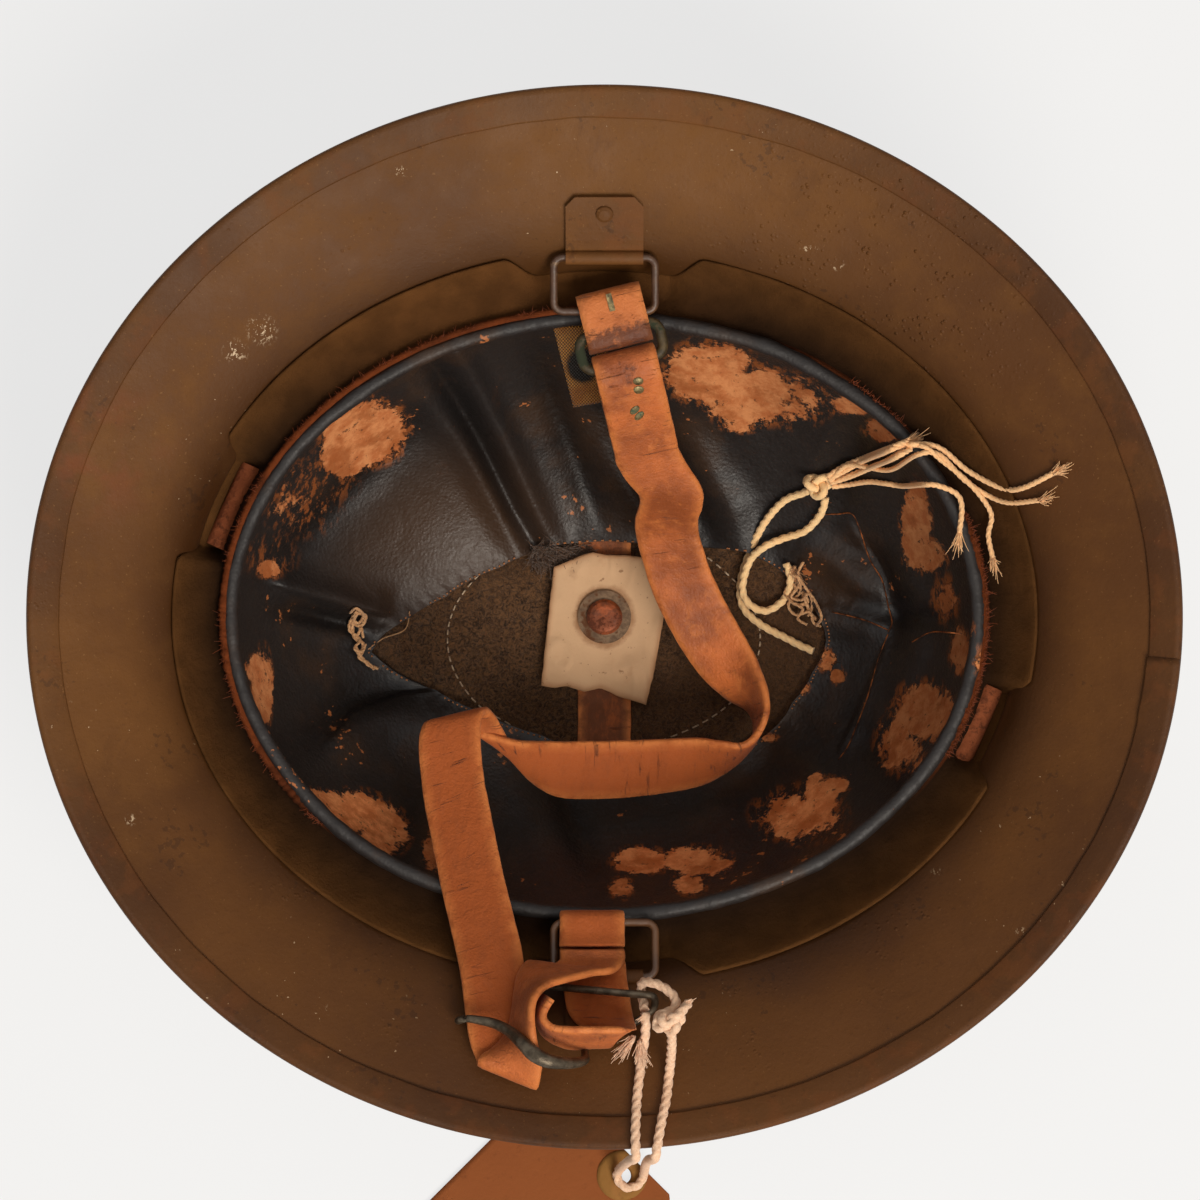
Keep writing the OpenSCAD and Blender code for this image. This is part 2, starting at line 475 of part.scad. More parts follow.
// A torn card, slightly turned, with its upper right corner lying aside
module crown_card() {
    color("#dcb894") translate([0, 0, card_z]) difference() {
        linear_extrude(card_t) polygon([
            [-card_w * 0.475, card_h * 0.4], [-card_w * 0.11, card_h * 0.52], [card_w * 0.38, card_h * 0.48],
            [card_w * 0.6, card_h * 0.1], [card_w * 0.41, -card_h * 0.69], [-card_w * 0.36, -card_h * 0.54],
            [-card_w * 0.6, -card_h * 0.53]]);
        translate([0, 0, -1]) cylinder(d = rivet_shaft_d + 0.1, h = card_t + 2, $fn = 32);
    }
}

module crown_strip() {
    function mid(y) = strip_t / 2 + (abs(y) < 26 ? strip_z : bowl_z(strip_w / 2, y) + gap + felt_t + 0.4);
    color("#8a5431") difference() {
        ribbon([for (q = [-56, -50, -44, -38, -32, -25.5, -12, 12, 25.5, 32, 38, 46])
            let (y = q * bowl_ry / route_ry) [0, y, mid(y), 1, 0, 0]],
            strip_w, strip_t, 1);
        cylinder(d = rivet_shaft_d + 0.1, h = 60, $fn = 32);
    }
}

module felt_pad() {
    k = 40;
    function pad(f, phi, high) = let (x = felt_rx * f * cos(phi), y = felt_ry * f * sin(phi))
        [x, y, high ? (f < 0.65 ? seat_z : bowl_z(x, y) + gap + felt_t) : bowl_z(x, y) + gap + 0.25];
    rows = concat(
        [for (f = [0.3, 0.6, 0.8, 1]) [for (j = [0:k - 1]) pad(f, 360 * j / k, true)]],
        [for (f = [1, 0.8, 0.6, 0.3]) [for (j = [0:k - 1]) pad(f, 360 * j / k, false)]]);
    color("#33271e") difference() {
        skin_poles([0, 0, seat_z], rows, [0, 0, crown_z + gap + 0.25]);
        cylinder(d = rivet_shaft_d + 0.1, h = 30, $fn = 32);
    }
}

// The black leather cap, open over the felt pad
module liner_cap() {
    rings = 7;
    k = 48;
    function strip(phi) = concat(
        [for (i = [0:rings]) cap_point(i / rings, phi)],
        [for (i = [rings:-1:0]) cap_point(i / rings, phi) - cap_t * cap_normal(i / rings, phi)]);
    color("#24201e") skin_closed([for (j = [0:k - 1]) strip(360 * j / k)]);
}

module liner_bead() {
    k = 56;
    sides = 8;
    color("#1d1b1b") skin_closed([for (j = [0:k - 1]) let (phi = 360 * j / k)
        [for (m = [0:sides - 1]) let (a = 360 * m / sides + 22.5)
            [(bead_rx + bead_r * cos(a)) * cos(phi), (bead_ry + bead_r * cos(a)) * sin(phi),
                bead_z + bead_r * sin(a)]]]);
}

// Suede band behind the cap: an upright oval wall
band_rx = bead_rx + cap_t + gap;
band_ry = bead_ry + cap_t + gap;
module liner_band() {
    k = 56;
    color("#7a4526") skin_closed([for (j = [0:k - 1]) let (phi = 360 * j / k)
        [for (q = [[0, cap_top - band_h], [band_t, cap_top - band_h], [band_t, cap_top], [0, cap_top]])
            [(band_rx + q[0]) * cos(phi), (band_ry + q[0]) * sin(phi), q[1]]]]);
}

// Rubber tubes between the band and the shell, each lying along the band
function tube_angle(k) = 10 + 360 * k / tube_count;
function band_at(phi) = [(band_rx + band_t) * cos(phi), (band_ry + band_t) * sin(phi), tube_z];
function band_dir(phi) = unit([-(band_rx + band_t) * sin(phi), (band_ry + band_t) * cos(phi), 0]);
tube_s = 0.93;
tube_room = section(tube_s, bowl_rx, rim_rx)[0] - band_rx - band_t;
tube_d = min(tube_room, section(tube_s, bowl_ry, rim_ry)[0] - band_ry - band_t) - 1.8;
module stadium(w, h) {
    translate([-w / 2, -(h - w) / 2]) square([w, h - w]);
    for (m = [-1, 1]) translate([0, m * (h - w) / 2]) circle(d = w, $fn = 24);
}
module rubber_tubes() {
    color("#6a3b22") for (k = [0:tube_count - 1]) {
        phi = tube_angle(k);
        d = band_dir(phi);
        out = [d[1], -d[0], 0];
        c = band_at(phi) + out * (tube_d / 2 + 0.3);
        translate(c) rotate([0, 0, atan2(d[1], d[0])]) rotate([90, 0, 90])
            linear_extrude(tube_l, center = true) difference() {
                stadium(tube_d, tube_h);
                stadium(tube_d - 2 * tube_wall, tube_h - 2 * tube_wall);
            }
    }
}

module tube_lace() {
    k = 60;
    color("#8a6a48") skin_closed([for (j = [0:k - 1]) let (phi = 360 * j / k, d = band_dir(phi),
        c = band_at(phi) + [d[1], -d[0], 0] * (tube_d / 2 + 0.2))
        [for (m = [0:5]) c + lace_d / 2 * ([d[1], -d[0], 0] * cos(60 * m) + [0, 0, sin(60 * m)])]]);
}

// Canvas reinforcement on the cap beside the strap
module canvas_patch() {
    cols = 4;
    rows_n = 5;
    cloth_t = 0.6;
    function on_cap(a, b, off) = let (v = lerp(0.3, 0.62, b), phi = lerp(99, 88, a))
        cap_point(v, phi) + off * cap_normal(v, phi);
    function strip(b) = concat([for (a = [0:cols]) on_cap(a / cols, b, 0.6 + cloth_t)],
        [for (a = [cols:-1:0]) on_cap(a / cols, b, 0.6)]);
    color("#9a6a2c") skin_capped([for (b = [0:rows_n]) strip(b / rows_n)]);
}

// Places its children on the upper bracket's rivet, with Z along the rivet, pointing into the bowl
module at_lug() {
    translate([0, lug_y, lug_z]) rotate([lug_slope, 0, 0]) children();
}

// Bracket: two leaves of steel folded round the loop's bar, with clipped corners
module bracket() {
    ends = pivot_y + bracket_reach;
    from = pivot_y + 1.2;
    steps = 7;
    function face(i, off) = let (y = lerp(from, ends, i / steps),
        a = atan2(bowl_z(0, y + 0.5) - bowl_z(0, y - 0.5), 1)) [y - off * sin(a), bowl_z(0, y) + off * cos(a)];
    clip = 4.6;
    difference() {
        rotate([90, 0, 90]) linear_extrude(bracket_w, center = true) difference() {
            union() {
                polygon(concat([for (i = [0:steps]) face(i, gap + bracket_t)], [for (i = [steps:-1:0]) face(i, gap)]));
                translate([pivot_y, pivot_z]) circle(r = barrel_r, $fn = 40);
                polygon([[pivot_y, pivot_z], face(0, gap + bracket_t), face(1, gap + bracket_t), face(1, gap),
                    face(0, gap)]);
            }
            translate([pivot_y, pivot_z]) circle(r = wire_d / 2 + wire_clear, $fn = 40);
        }
        at_lug() cylinder(d = lug_rivet_d + 0.1, h = 8, center = true, $fn = 32);
        for (m = [-1, 1]) translate([m * bracket_w / 2, ends, 0]) rotate([0, 0, 45])
            cube([clip, clip, 400], center = true);
    }
}
module upper_bracket() {
    color("#63432a") bracket();
}
module lower_bracket() {
    color("#63432a") mirror([0, 1, 0]) bracket();
}

module bracket_rivet() {
    at_lug() union() {
        translate([0, 0, -shell_t - 0.7]) cylinder(d = lug_rivet_d, h = shell_t + 0.7 + gap + bracket_t + 0.3, $fn = 32);
        translate([0, 0, -shell_t - 0.85]) cylinder(d1 = lug_head_d - 0.8, d2 = lug_head_d, h = 0.7, $fn = 32);
        translate([0, 0, gap + bracket_t + 0.12]) rotate_extrude($fn = 32)
            polygon([[0, 0], [lug_head_d / 2, 0], [lug_head_d / 2 * 0.92, 0.5], [lug_head_d / 2 * 0.6, 1],
                [0, 1.2]]);
    }
}
module bracket_rivets() {
    color("#6d4a2e") for (m = [0, 1]) mirror([0, m, 0]) bracket_rivet();
}

// Flat rectangle of wire with round corners: half sizes are those of the wire's middle line
module wire_frame(hw, hh, corner, d) {
    for (m = [-1, 1]) {
        translate([0, m * hh, 0]) rotate([0, 90, 0])
            cylinder(d = d, h = 2 * (hw - corner), center = true, $fn = 24);
        translate([m * hw, 0, 0]) rotate([90, 0, 0])
            cylinder(d = d, h = 2 * (hh - corner), center = true, $fn = 24);
    }
    for (k = [0:3]) translate([(k == 0 || k == 3 ? 1 : -1) * (hw - corner), (k < 2 ? 1 : -1) * (hh - corner), 0])
        rotate([0, 0, 90 * k]) rotate_extrude(angle = 90, $fn = 24)
            translate([corner, 0]) circle(d = d, $fn = 24);
}
module wire_loop() {
    translate([0, pivot_y, pivot_z]) rotate([loop_tilt, 0, 0]) translate([0, -loop_reach / 2, 0])
        wire_frame(loop_w / 2 - wire_d / 2, loop_reach / 2, loop_corner, wire_d);
}
module upper_loop() {
    color("#7a5a3c") wire_loop();
}
module lower_loop() {
    color("#7a5a3c") mirror([0, 1, 0]) wire_loop();
}

// Places its children in the link's frame: X across the strap, Y along it towards the loop
module at_link(turn) {
    translate([link_x, link_y, link_z]) rotate([0, 0, turn]) children();
}

// Leather tab: a flat sleeve round the loop's bar and the link
module strap_tab() {
    high = cavity + 2 * tab_t;
    module sleeve(grow) {
        translate([tab_low + high / 2, -cavity / 2 - grow]) square([tab_l - high, cavity + 2 * grow]);
        for (y = [tab_low + high / 2, tab_low + tab_l - high / 2]) translate([y, 0])
            circle(d = cavity + 2 * grow, $fn = 32);
    }
    color("#b06a38") difference() {
        at_link(link_turn) rotate([90, 0, 90]) linear_extrude(strap_w, center = true) difference() {
            sleeve(tab_t);
            sleeve(0);
        }
        at_split(0) cylinder(d = split_d + 0.1, h = 20, center = true, $fn = 24);
    }
}

// Split rivets: 0 is the tab's, 1 and 2 are the strap end's
module at_split(i) {
    if (i == 0) at_link(link_turn) translate([0, tab_low + tab_l - cavity / 2 - tab_t - 0.6, 0]) children();
    else at_link(strap_turn) translate([0, split_up[i - 1][0], split_up[i - 1][1]])
        rotate([split_up[i - 1][2], 0, 0]) children();
}
module split_rivet(i, under, over) {
    prong_w = 1.5;
    prong_l = 2.4;
    at_split(i) union() {
        translate([0, 0, -under - 0.7]) cylinder(d = split_head_d, h = 0.6, $fn = 32);
        translate([0, 0, -under - 0.2]) cylinder(d = split_d, h = under + over + 0.5, $fn = 24);
        for (m = [-1, 1]) translate([-prong_w / 2, m > 0 ? 0 : -prong_l, over + 0.1]) cube([prong_w, prong_l, 0.5]);
    }
}
module tab_rivet() {
    half = cavity / 2 + tab_t;
    color("#6f8a6a") split_rivet(0, half, half);
}
module strap_rivets() {
    color("#6f8a6a") for (i = [1, 2]) split_rivet(i, strap_t / 2 + (i == 1 ? 6 : 3.2), strap_t / 2 + 0.2);
}

// Wire link between the tab and the strap
module strap_link() {
    color("#8a7a4e") at_link(link_turn) wire_frame((link_w - link_d) / 2, link_bar, link_corner, link_d);
}

module strap_end() {
    color("#b06030") difference() {
        at_link(strap_turn) ribbon([for (p = end_path) [0, p[0], p[1], 1, 0, 0]], strap_w, strap_t, 2);
        for (i = [1, 2]) at_split(i) cylinder(d = split_d + 0.1, h = 16, center = true, $fn = 24);
    }
}

module strap_main() {
    color("#b06030") ribbon(main_route, strap_w, strap_t, 2);
}

module strap_curl() {
    color("#a85a2c") ribbon(curl_route, strap_w, strap_t, 2);
}

// The strap's fold round the lower loop's bar
module strap_fold() {
    color("#b06030") ribbon([for (p = fold_path) fold_place(p, 1)], strap_w, strap_t, 2);
}

module strap_buckle() {
    color("#5d5a50") wire_ring([for (p = buckle_route) concat(place_cord(p), [p[3]])], buckle_d,
        place_cord(buckle_middle));
}

module drawcord() {
    color("#d8a878") cord([for (p = drawcord_route) rest(p)], cord_d, 2);
}
module drawcord_strand() {
    color("#d8a878") cord([for (p = strand_route) rest(p)], cord_d, 2);
}
module drawcord_knot() {
    color("#d8a878") translate(rest(knot_place)) scale([1.3, 1, 0.9]) sphere(d = 4.6, $fn = 20);
}
module drawcord_tails() {
    color("#d8a878") for (t = tail_routes) cord([for (p = t) rest(p)], ply_d, 1, 6);
}
module net_ends() {
    color("#b08a5c") for (t = net_routes) cord([for (p = t) rest(p)], ply_d, 1, 6);
}

// The string's turn round the buckle with its bow
module string_knot() {
    color("#e3c2a4") cord([for (p = bow_route) place_cord(p)], string_d, 2);
}
module tag_string() {
    color("#e3c2a4") cord([for (p = string_route) place_cord(p)], string_d, 1);
}

// Card tag on the ground: one end clipped, with a hole for the string
module at_tag() {
    translate([tag_corner[0] * bowl_rx / 112, tag_corner[1] * bowl_ry / 93, 0]) rotate([0, 0, tag_turn]) children();
}
module tag_outline() {
    clip = 20;
    polygon([[-tag_l + 14, -tag_w / 2], [14 - clip, -tag_w / 2], [14, -tag_w / 2 + clip], [14, tag_w / 2 - clip],
        [14 - clip, tag_w / 2], [-tag_l + 14, tag_w / 2]]);
}
module tag() {
    color("#9a5830") at_tag() difference() {
        linear_extrude(tag_t) tag_outline();
        translate([0, 0, -1]) cylinder(d = 5, h = tag_t + 2, $fn = 32);
    }
}
module tag_patch() {
    color("#9c8452") at_tag() translate([0, 0, tag_t]) difference() {
        cylinder(d = patch_l, h = 0.5, $fn = 40);
        translate([0, 0, -1]) cylinder(d = 5, h = 3, $fn = 32);
    }
}

shell();
rim_binding();
crown_rivet();
crown_washer();
crown_card();
crown_strip();
felt_pad();
liner_cap();
liner_bead();
liner_band();
rubber_tubes();
tube_lace();
canvas_patch();
upper_bracket();
lower_bracket();
bracket_rivets();
upper_loop();
lower_loop();
strap_tab();
tab_rivet();
strap_link();
strap_end();
strap_rivets();
strap_main();
strap_curl();
strap_fold();
strap_buckle();
drawcord();
drawcord_strand();
drawcord_knot();
drawcord_tails();
net_ends();
string_knot();
tag_string();
tag();
tag_patch();
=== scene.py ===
"""A wide-brimmed steel helmet on its crown, seen from above into its bowl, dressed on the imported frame."""
import bpy
import json
import math
import numpy as np
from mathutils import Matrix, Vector, noise
from mathutils.bvhtree import BVHTree

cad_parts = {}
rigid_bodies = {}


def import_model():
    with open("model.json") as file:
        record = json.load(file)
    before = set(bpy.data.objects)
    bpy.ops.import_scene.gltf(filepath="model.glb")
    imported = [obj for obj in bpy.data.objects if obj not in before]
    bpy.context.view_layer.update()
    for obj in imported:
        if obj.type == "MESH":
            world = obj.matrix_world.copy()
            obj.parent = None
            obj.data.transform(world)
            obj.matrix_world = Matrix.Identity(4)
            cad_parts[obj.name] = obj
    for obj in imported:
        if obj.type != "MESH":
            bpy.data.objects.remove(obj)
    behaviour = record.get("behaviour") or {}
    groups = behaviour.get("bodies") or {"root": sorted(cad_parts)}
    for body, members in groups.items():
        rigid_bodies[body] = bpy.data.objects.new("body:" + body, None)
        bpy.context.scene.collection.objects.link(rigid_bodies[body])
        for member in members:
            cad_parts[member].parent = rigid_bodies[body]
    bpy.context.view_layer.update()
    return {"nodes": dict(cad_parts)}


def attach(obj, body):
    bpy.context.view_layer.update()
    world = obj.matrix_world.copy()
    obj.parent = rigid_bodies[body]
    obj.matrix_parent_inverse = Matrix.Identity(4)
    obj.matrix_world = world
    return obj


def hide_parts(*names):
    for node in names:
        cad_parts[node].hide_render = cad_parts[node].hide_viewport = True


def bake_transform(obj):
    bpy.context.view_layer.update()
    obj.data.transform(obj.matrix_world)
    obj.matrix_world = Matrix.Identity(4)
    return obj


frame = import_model()
nodes = frame["nodes"]
scene = bpy.context.scene
MM = 0.001

# The photograph's frame: its size and its pixel over the bowl's centre, and its scale at the rim
PHOTO = 1200
CENTRE_X, CENTRE_Y = 604.5, 617
PIXELS_PER_MM = 3.787
CAMERA_Z, CAMERA_TO_RIM = 1608, 1500
BEAD_PIXEL = 0.2694

# Camera: straight above the bowl
cam = bpy.data.cameras.new("camera")
cam.sensor_width = 36
cam.lens = 170.4
cam.shift_x = (PHOTO / 2 - CENTRE_X) / PHOTO
cam.shift_y = (CENTRE_Y - PHOTO / 2) / PHOTO
cam.clip_end = 20
cam_obj = bpy.data.objects.new("camera", cam)
scene.collection.objects.link(cam_obj)
cam_obj.location = (0, 0, CAMERA_Z * MM)
scene.camera = cam_obj

# The bowl's shape, in millimetres, as the CAD has it
RX, RY, AX, AY = 151.8, 140.05, 112.0, 93.0
CROWN, WALL, RIM, POWER = 2.95, 74.0, 108.0, 2.3
RISE, RUN, SLOPE, SWEEP = 16.0, 22.0, math.radians(24), 3.0
BEAD_X, BEAD_Y, BEAD_Z, BEAD_R, CAP_TOP = 100.5, 80.5, 77.0, 2.4, 74.3
CAP_POWER = 1.45
STRAP_WIDTH, STRAP_THICK = 17.5, 2.1


def section(s, a, r):
    """The bowl's curve on one axis: radius and height at s.

    s is 0 at the crown, 1 at the wall's top and 2 at the rim.
    """
    if s <= 1:
        t = math.pi / 2 * s
        return a * math.sin(t) ** (2 / POWER), WALL - (WALL - CROWN) * max(math.cos(t), 0) ** (2 / POWER)
    t = s - 1
    p = [(a, WALL), (a, WALL + RISE), (r - RUN * math.cos(SLOPE), RIM - RUN * math.sin(SLOPE)), (r, RIM)]
    c = [(1 - t) ** 3, 3 * (1 - t) ** 2 * t, 3 * (1 - t) * t * t, t ** 3]
    return sum(c[i] * p[i][0] for i in range(4)), sum(c[i] * p[i][1] for i in range(4))


def inner(s, phi):
    """A point of the bowl's inner skin."""
    long, short = section(s, AX, RX), section(s, AY, RY)
    sweep = SWEEP * max(0, s - 1) ** 2 * math.sin(phi) ** 2
    return np.array([long[0] * math.cos(phi), short[0] * math.sin(phi), long[1] - sweep])


def skin_normal(s, phi):
    a = inner(min(s + 0.004, 2), phi) - inner(max(s - 0.004, 0.0005), phi)
    b = inner(s, phi + 0.005) - inner(s, phi - 0.005)
    n = np.cross(a, b)
    return n / np.linalg.norm(n)


def bowl_z(x, y):
    """Height of the bowl's inner skin under x, y."""
    low, high = 0.0001, 2.0
    for _ in range(22):
        s = (low + high) / 2
        if (x / section(s, AX, RX)[0]) ** 2 + (y / section(s, AY, RY)[0]) ** 2 > 1:
            low = s
        else:
            high = s
    short = section(low, AY, RY)[0]
    return section(low, AX, RX)[1] - SWEEP * max(0, low - 1) ** 2 * (y / short) ** 2


def pixel(z):
    """Size in millimetres of the photograph's pixel at height z."""
    return (CAMERA_Z - z) / CAMERA_TO_RIM / PIXELS_PER_MM


def px(x, y, z):
    """A point of the photograph's frame, at height z, as x and y in millimetres."""
    k = pixel(z)
    return (x - CENTRE_X) * k, (CENTRE_Y - y) * k


def wobble(p, scale, amp, seed=0.0):
    return amp * noise.noise(Vector((p[0] / scale + seed, p[1] / scale - seed, p[2] / scale + 2 * seed)))


def smooth(a, b, x):
    t = np.clip((x - a) / (b - a), 0, 1)
    return t * t * (3 - 2 * t)


# Meshes
def make(name, verts, faces, body="helmet", mat=None, attrs=None, uv=None):
    """A mesh object from millimetres, smooth, with point attributes and a map, riding on a body."""
    me = bpy.data.meshes.new(name)
    me.from_pydata([tuple(float(c) * MM for c in v) for v in verts], [], [tuple(f) for f in faces])
    me.update()
    me.polygons.foreach_set("use_smooth", [True] * len(me.polygons))
    for key, vals in (attrs or {}).items():
        a = me.attributes.new(key, "FLOAT", "POINT")
        a.data.foreach_set("value", np.asarray(vals, dtype=np.float32))
    if uv is not None:
        layer = me.uv_layers.new(name="map")
        idx = np.empty(len(me.loops), dtype=np.int32)
        me.loops.foreach_get("vertex_index", idx)
        layer.data.foreach_set("uv", np.asarray(uv, dtype=np.float32)[idx].ravel())
    o = bpy.data.objects.new(name, me)
    scene.collection.objects.link(o)
    if mat:
        me.materials.append(mat)
    if body:
        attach(o, body)
    return o


def thicken(o, thickness, offset=-1):
    solid = o.modifiers.new("thickness", "SOLIDIFY")
    solid.thickness = thickness
    solid.offset = offset


def grid(rows, cols, close_rows=False, close_cols=True, flip=False):
    out = []
    for i in range(rows - (0 if close_rows else 1)):
        for j in range(cols - (0 if close_cols else 1)):
            a, b = i * cols + j, i * cols + (j + 1) % cols
            c, d = ((i + 1) % rows) * cols + (j + 1) % cols, ((i + 1) % rows) * cols + j
            out.append((a, d, c, b) if flip else (a, b, c, d))
    return out


def ends(rows, cols):
    """The two faces that close a grid of rows."""
    return [tuple(range(cols))[::-1], tuple((rows - 1) * cols + j for j in range(cols))]


def catmull(pts, step):
    """Points on a smooth curve through pts, about step apart; works on any number of columns."""
    p = np.asarray(pts, dtype=float)
    out = []
    for i in range(len(p) - 1):
        a, b, c, d = p[max(i - 1, 0)], p[i], p[i + 1], p[min(i + 2, len(p) - 1)]
        n = max(2, int(math.ceil(np.linalg.norm((c - b)[:3]) / step)))
        for k in range(n):
            t = k / n
            bend = (c - a) + t * ((2 * a - 5 * b + 4 * c - d) + t * (3 * (b - c) + d - a))
            out.append(b + 0.5 * t * bend)
    out.append(p[-1])
    return np.array(out)


def lengths(p):
    return np.concatenate([[0], np.cumsum(np.linalg.norm(np.diff(p[:, :3], axis=0), axis=1))])


def tangents(p):
    n = len(p)
    t = np.array([p[min(i + 1, n - 1)] - p[max(i - 1, 0)] for i in range(n)])
    return t / np.linalg.norm(t, axis=1)[:, None]


def frames(p):
    """Two directions across a path, at each of its points, without twist."""
    t = tangents(p)
    s = np.array([0, 0, 1] if abs(t[0][2]) < 0.9 else [1, 0, 0], dtype=float)
    side = []
    for i in range(len(p)):
        s = s - np.dot(s, t[i]) * t[i]
        s /= np.linalg.norm(s)
        side.append(s)
    side = np.array(side)
    return side, np.cross(t, side)


def tube(path, radius, sides=12, twist=0.0, plies=0, depth=0.22, taper=None, closed=False):
    """Verts and faces of a cord: with plies its section is a twisted clover."""
    s, b = frames(path)
    length = lengths(path)
    verts = []
    for i in range(len(path)):
        r0 = radius[i] if hasattr(radius, "__len__") else radius
        if taper is not None:
            r0 = r0 * (1 - taper * (length[i] / length[-1]))
        for j in range(sides):
            a = 2 * math.pi * j / sides
            r = r0
            if plies:
                w = a - twist * length[i]
                r = r0 * (1 - depth + depth * abs(math.cos(plies * w / 2)))
            verts.append(path[i] + r * (math.cos(a) * s[i] + math.sin(a) * b[i]))
    faces = grid(len(path), sides, close_rows=closed)
    if not closed:
        faces += ends(len(path), sides)
    return verts, faces


def joined(parts):
    verts, faces = [], []
    for v, f in parts:
        k = len(verts)
        verts += list(v)
        faces += [tuple(i + k for i in q) for q in f]
    return verts, faces


# Materials
def lin(r, g, b):
    """A screen colour, 0 to 255, as the shader wants it."""
    def channel(c):
        return c / 255 / 12.92 if c / 255 <= 0.04045 else ((c / 255 + 0.055) / 1.055) ** 2.4
    return (channel(r), channel(g), channel(b), 1)


class Mat:
    """A material and short calls that add its nodes."""

    def __init__(self, name, rough=0.6, metallic=0.0, spec=0.4, sheen=0.0, coat=0.0, coat_rough=0.3):
        self.m = bpy.data.materials.new(name)
        self.m.use_nodes = True
        self.t = self.m.node_tree
        self.b = self.t.nodes["Principled BSDF"]
        for key, value in (("Roughness", rough), ("Metallic", metallic), ("Specular IOR Level", spec),
                           ("Sheen Weight", sheen), ("Sheen Roughness", 0.5), ("Coat Weight", coat),
                           ("Coat Roughness", coat_rough)):
            self.b.inputs[key].default_value = value
        self.co = self.t.nodes.new("ShaderNodeTexCoord").outputs["Object"]

    def put(self, sock, v):
        if isinstance(v, bpy.types.NodeSocket):
            self.t.links.new(v, sock)
        else:
            sock.default_value = v

    def noise(self, scale, detail=4, rough=0.55, vec=None, dist=0.0):
        n = self.t.nodes.new("ShaderNodeTexNoise")
        n.inputs["Scale"].default_value = scale
        n.inputs["Detail"].default_value = detail
        n.inputs["Roughness"].default_value = rough
        n.inputs["Distortion"].default_value = dist
        self.put(n.inputs["Vector"], vec or self.co)
        return n.outputs["Fac"]

    def cells(self, scale):
        n = self.t.nodes.new("ShaderNodeTexVoronoi")
        n.inputs["Scale"].default_value = scale
        self.put(n.inputs["Vector"], self.co)
        return n.outputs["Distance"]

    def stretch(self, x, y, z, vec=None):
        n = self.t.nodes.new("ShaderNodeMapping")
        self.put(n.inputs["Vector"], vec or self.co)
        n.inputs["Scale"].default_value = (x, y, z)
        return n.outputs["Vector"]

    def uv(self, x=1.0, y=1.0):
        n = self.t.nodes.new("ShaderNodeUVMap")
        n.uv_map = "map"
        return self.stretch(x, y, 1, n.outputs["UV"])

    def xyz(self, vec=None):
        n = self.t.nodes.new("ShaderNodeSeparateXYZ")
        self.put(n.inputs[0], vec or self.co)
        return n.outputs

    def attr(self, name):
        n = self.t.nodes.new("ShaderNodeAttribute")
        n.attribute_name = name
        return n.outputs["Fac"]

    def step(self, v, a, b, to0=0.0, to1=1.0):
        n = self.t.nodes.new("ShaderNodeMapRange")
        n.interpolation_type = "SMOOTHSTEP"
        self.put(n.inputs["Value"], v)
        for key, val in (("From Min", a), ("From Max", b), ("To Min", to0), ("To Max", to1)):
            n.inputs[key].default_value = val
        return n.outputs["Result"]

    def math(self, op, a, b=0.0):
        n = self.t.nodes.new("ShaderNodeMath")
        n.operation = op
        self.put(n.inputs[0], a)
        self.put(n.inputs[1], b)
        return n.outputs[0]

    def times(self, a, b):
        return self.math("MULTIPLY", a, b)

    def plus(self, a, b):
        return self.math("ADD", a, b)

    def mix(self, f, a, b, blend="MIX"):
        n = self.t.nodes.new("ShaderNodeMix")
        n.data_type = "RGBA"
        n.blend_type = blend
        self.put(n.inputs[0], f)
        self.put(n.inputs[6], a)
        self.put(n.inputs[7], b)
        return n.outputs[2]

    def over(self, c, colour, v, a, b, amount=1.0):
        """Colour over c where v runs from a to b."""
        return self.mix(self.step(v, a, b, 0, amount), c, colour)

    def tint(self, c, by):
        return self.mix(1.0, c, by, "MULTIPLY")

    def spot(self, x, y, r, sy=1.0):
        """A mask that is 1 at x, y in millimetres and 0 at r from it."""
        n = self.t.nodes.new("ShaderNodeMapping")
        n.vector_type = "POINT"
        self.put(n.inputs["Vector"], self.co)
        n.inputs["Location"].default_value = (-x / r, -y * sy / r, 0)
        n.inputs["Scale"].default_value = (1000 / r, 1000 * sy / r, 0)
        d = self.t.nodes.new("ShaderNodeVectorMath")
        d.operation = "LENGTH"
        self.t.links.new(n.outputs["Vector"], d.inputs[0])
        return self.step(d.outputs["Value"], 1.0, 0.2)

    def color(self, v):
        self.put(self.b.inputs["Base Color"], v)

    def rough(self, v):
        self.put(self.b.inputs["Roughness"], v)

    def metal(self, v):
        self.put(self.b.inputs["Metallic"], v)

    def bump(self, *levels):
        """Each level is height, depth in metres."""
        last = None
        for h, d in levels:
            n = self.t.nodes.new("ShaderNodeBump")
            n.inputs["Distance"].default_value = d
            n.inputs["Strength"].default_value = 1.0
            self.put(n.inputs["Height"], h)
            if last is not None:
                self.t.links.new(last, n.inputs["Normal"])
            last = n.outputs["Normal"]
        self.t.links.new(last, self.b.inputs["Normal"])


# Where the paint is chipped to white: photograph's x and y, height, reach in millimetres, and squeeze along y
CHIPS = [(400, 170, 104, 3, 1.6), (262, 330, 94, 5, 1), (810, 248, 98, 3, 2.2), (838, 265, 96, 2.4, 1.5),
         (937, 872, 92, 2.2, 1.8), (236, 352, 92, 4, 1), (1020, 930, 100, 2, 1.2), (130, 820, 104, 2, 1),
         (330, 1010, 102, 1.8, 1)]
WHITE_CHIP = lin(214, 190, 160)
PALE_CHIP = lin(206, 180, 150)
PALE_SPECK = lin(164, 122, 78)
DIRT = lin(44, 26, 14)
RUST = lin(120, 62, 30)
RED_RUST = lin(124, 62, 38)


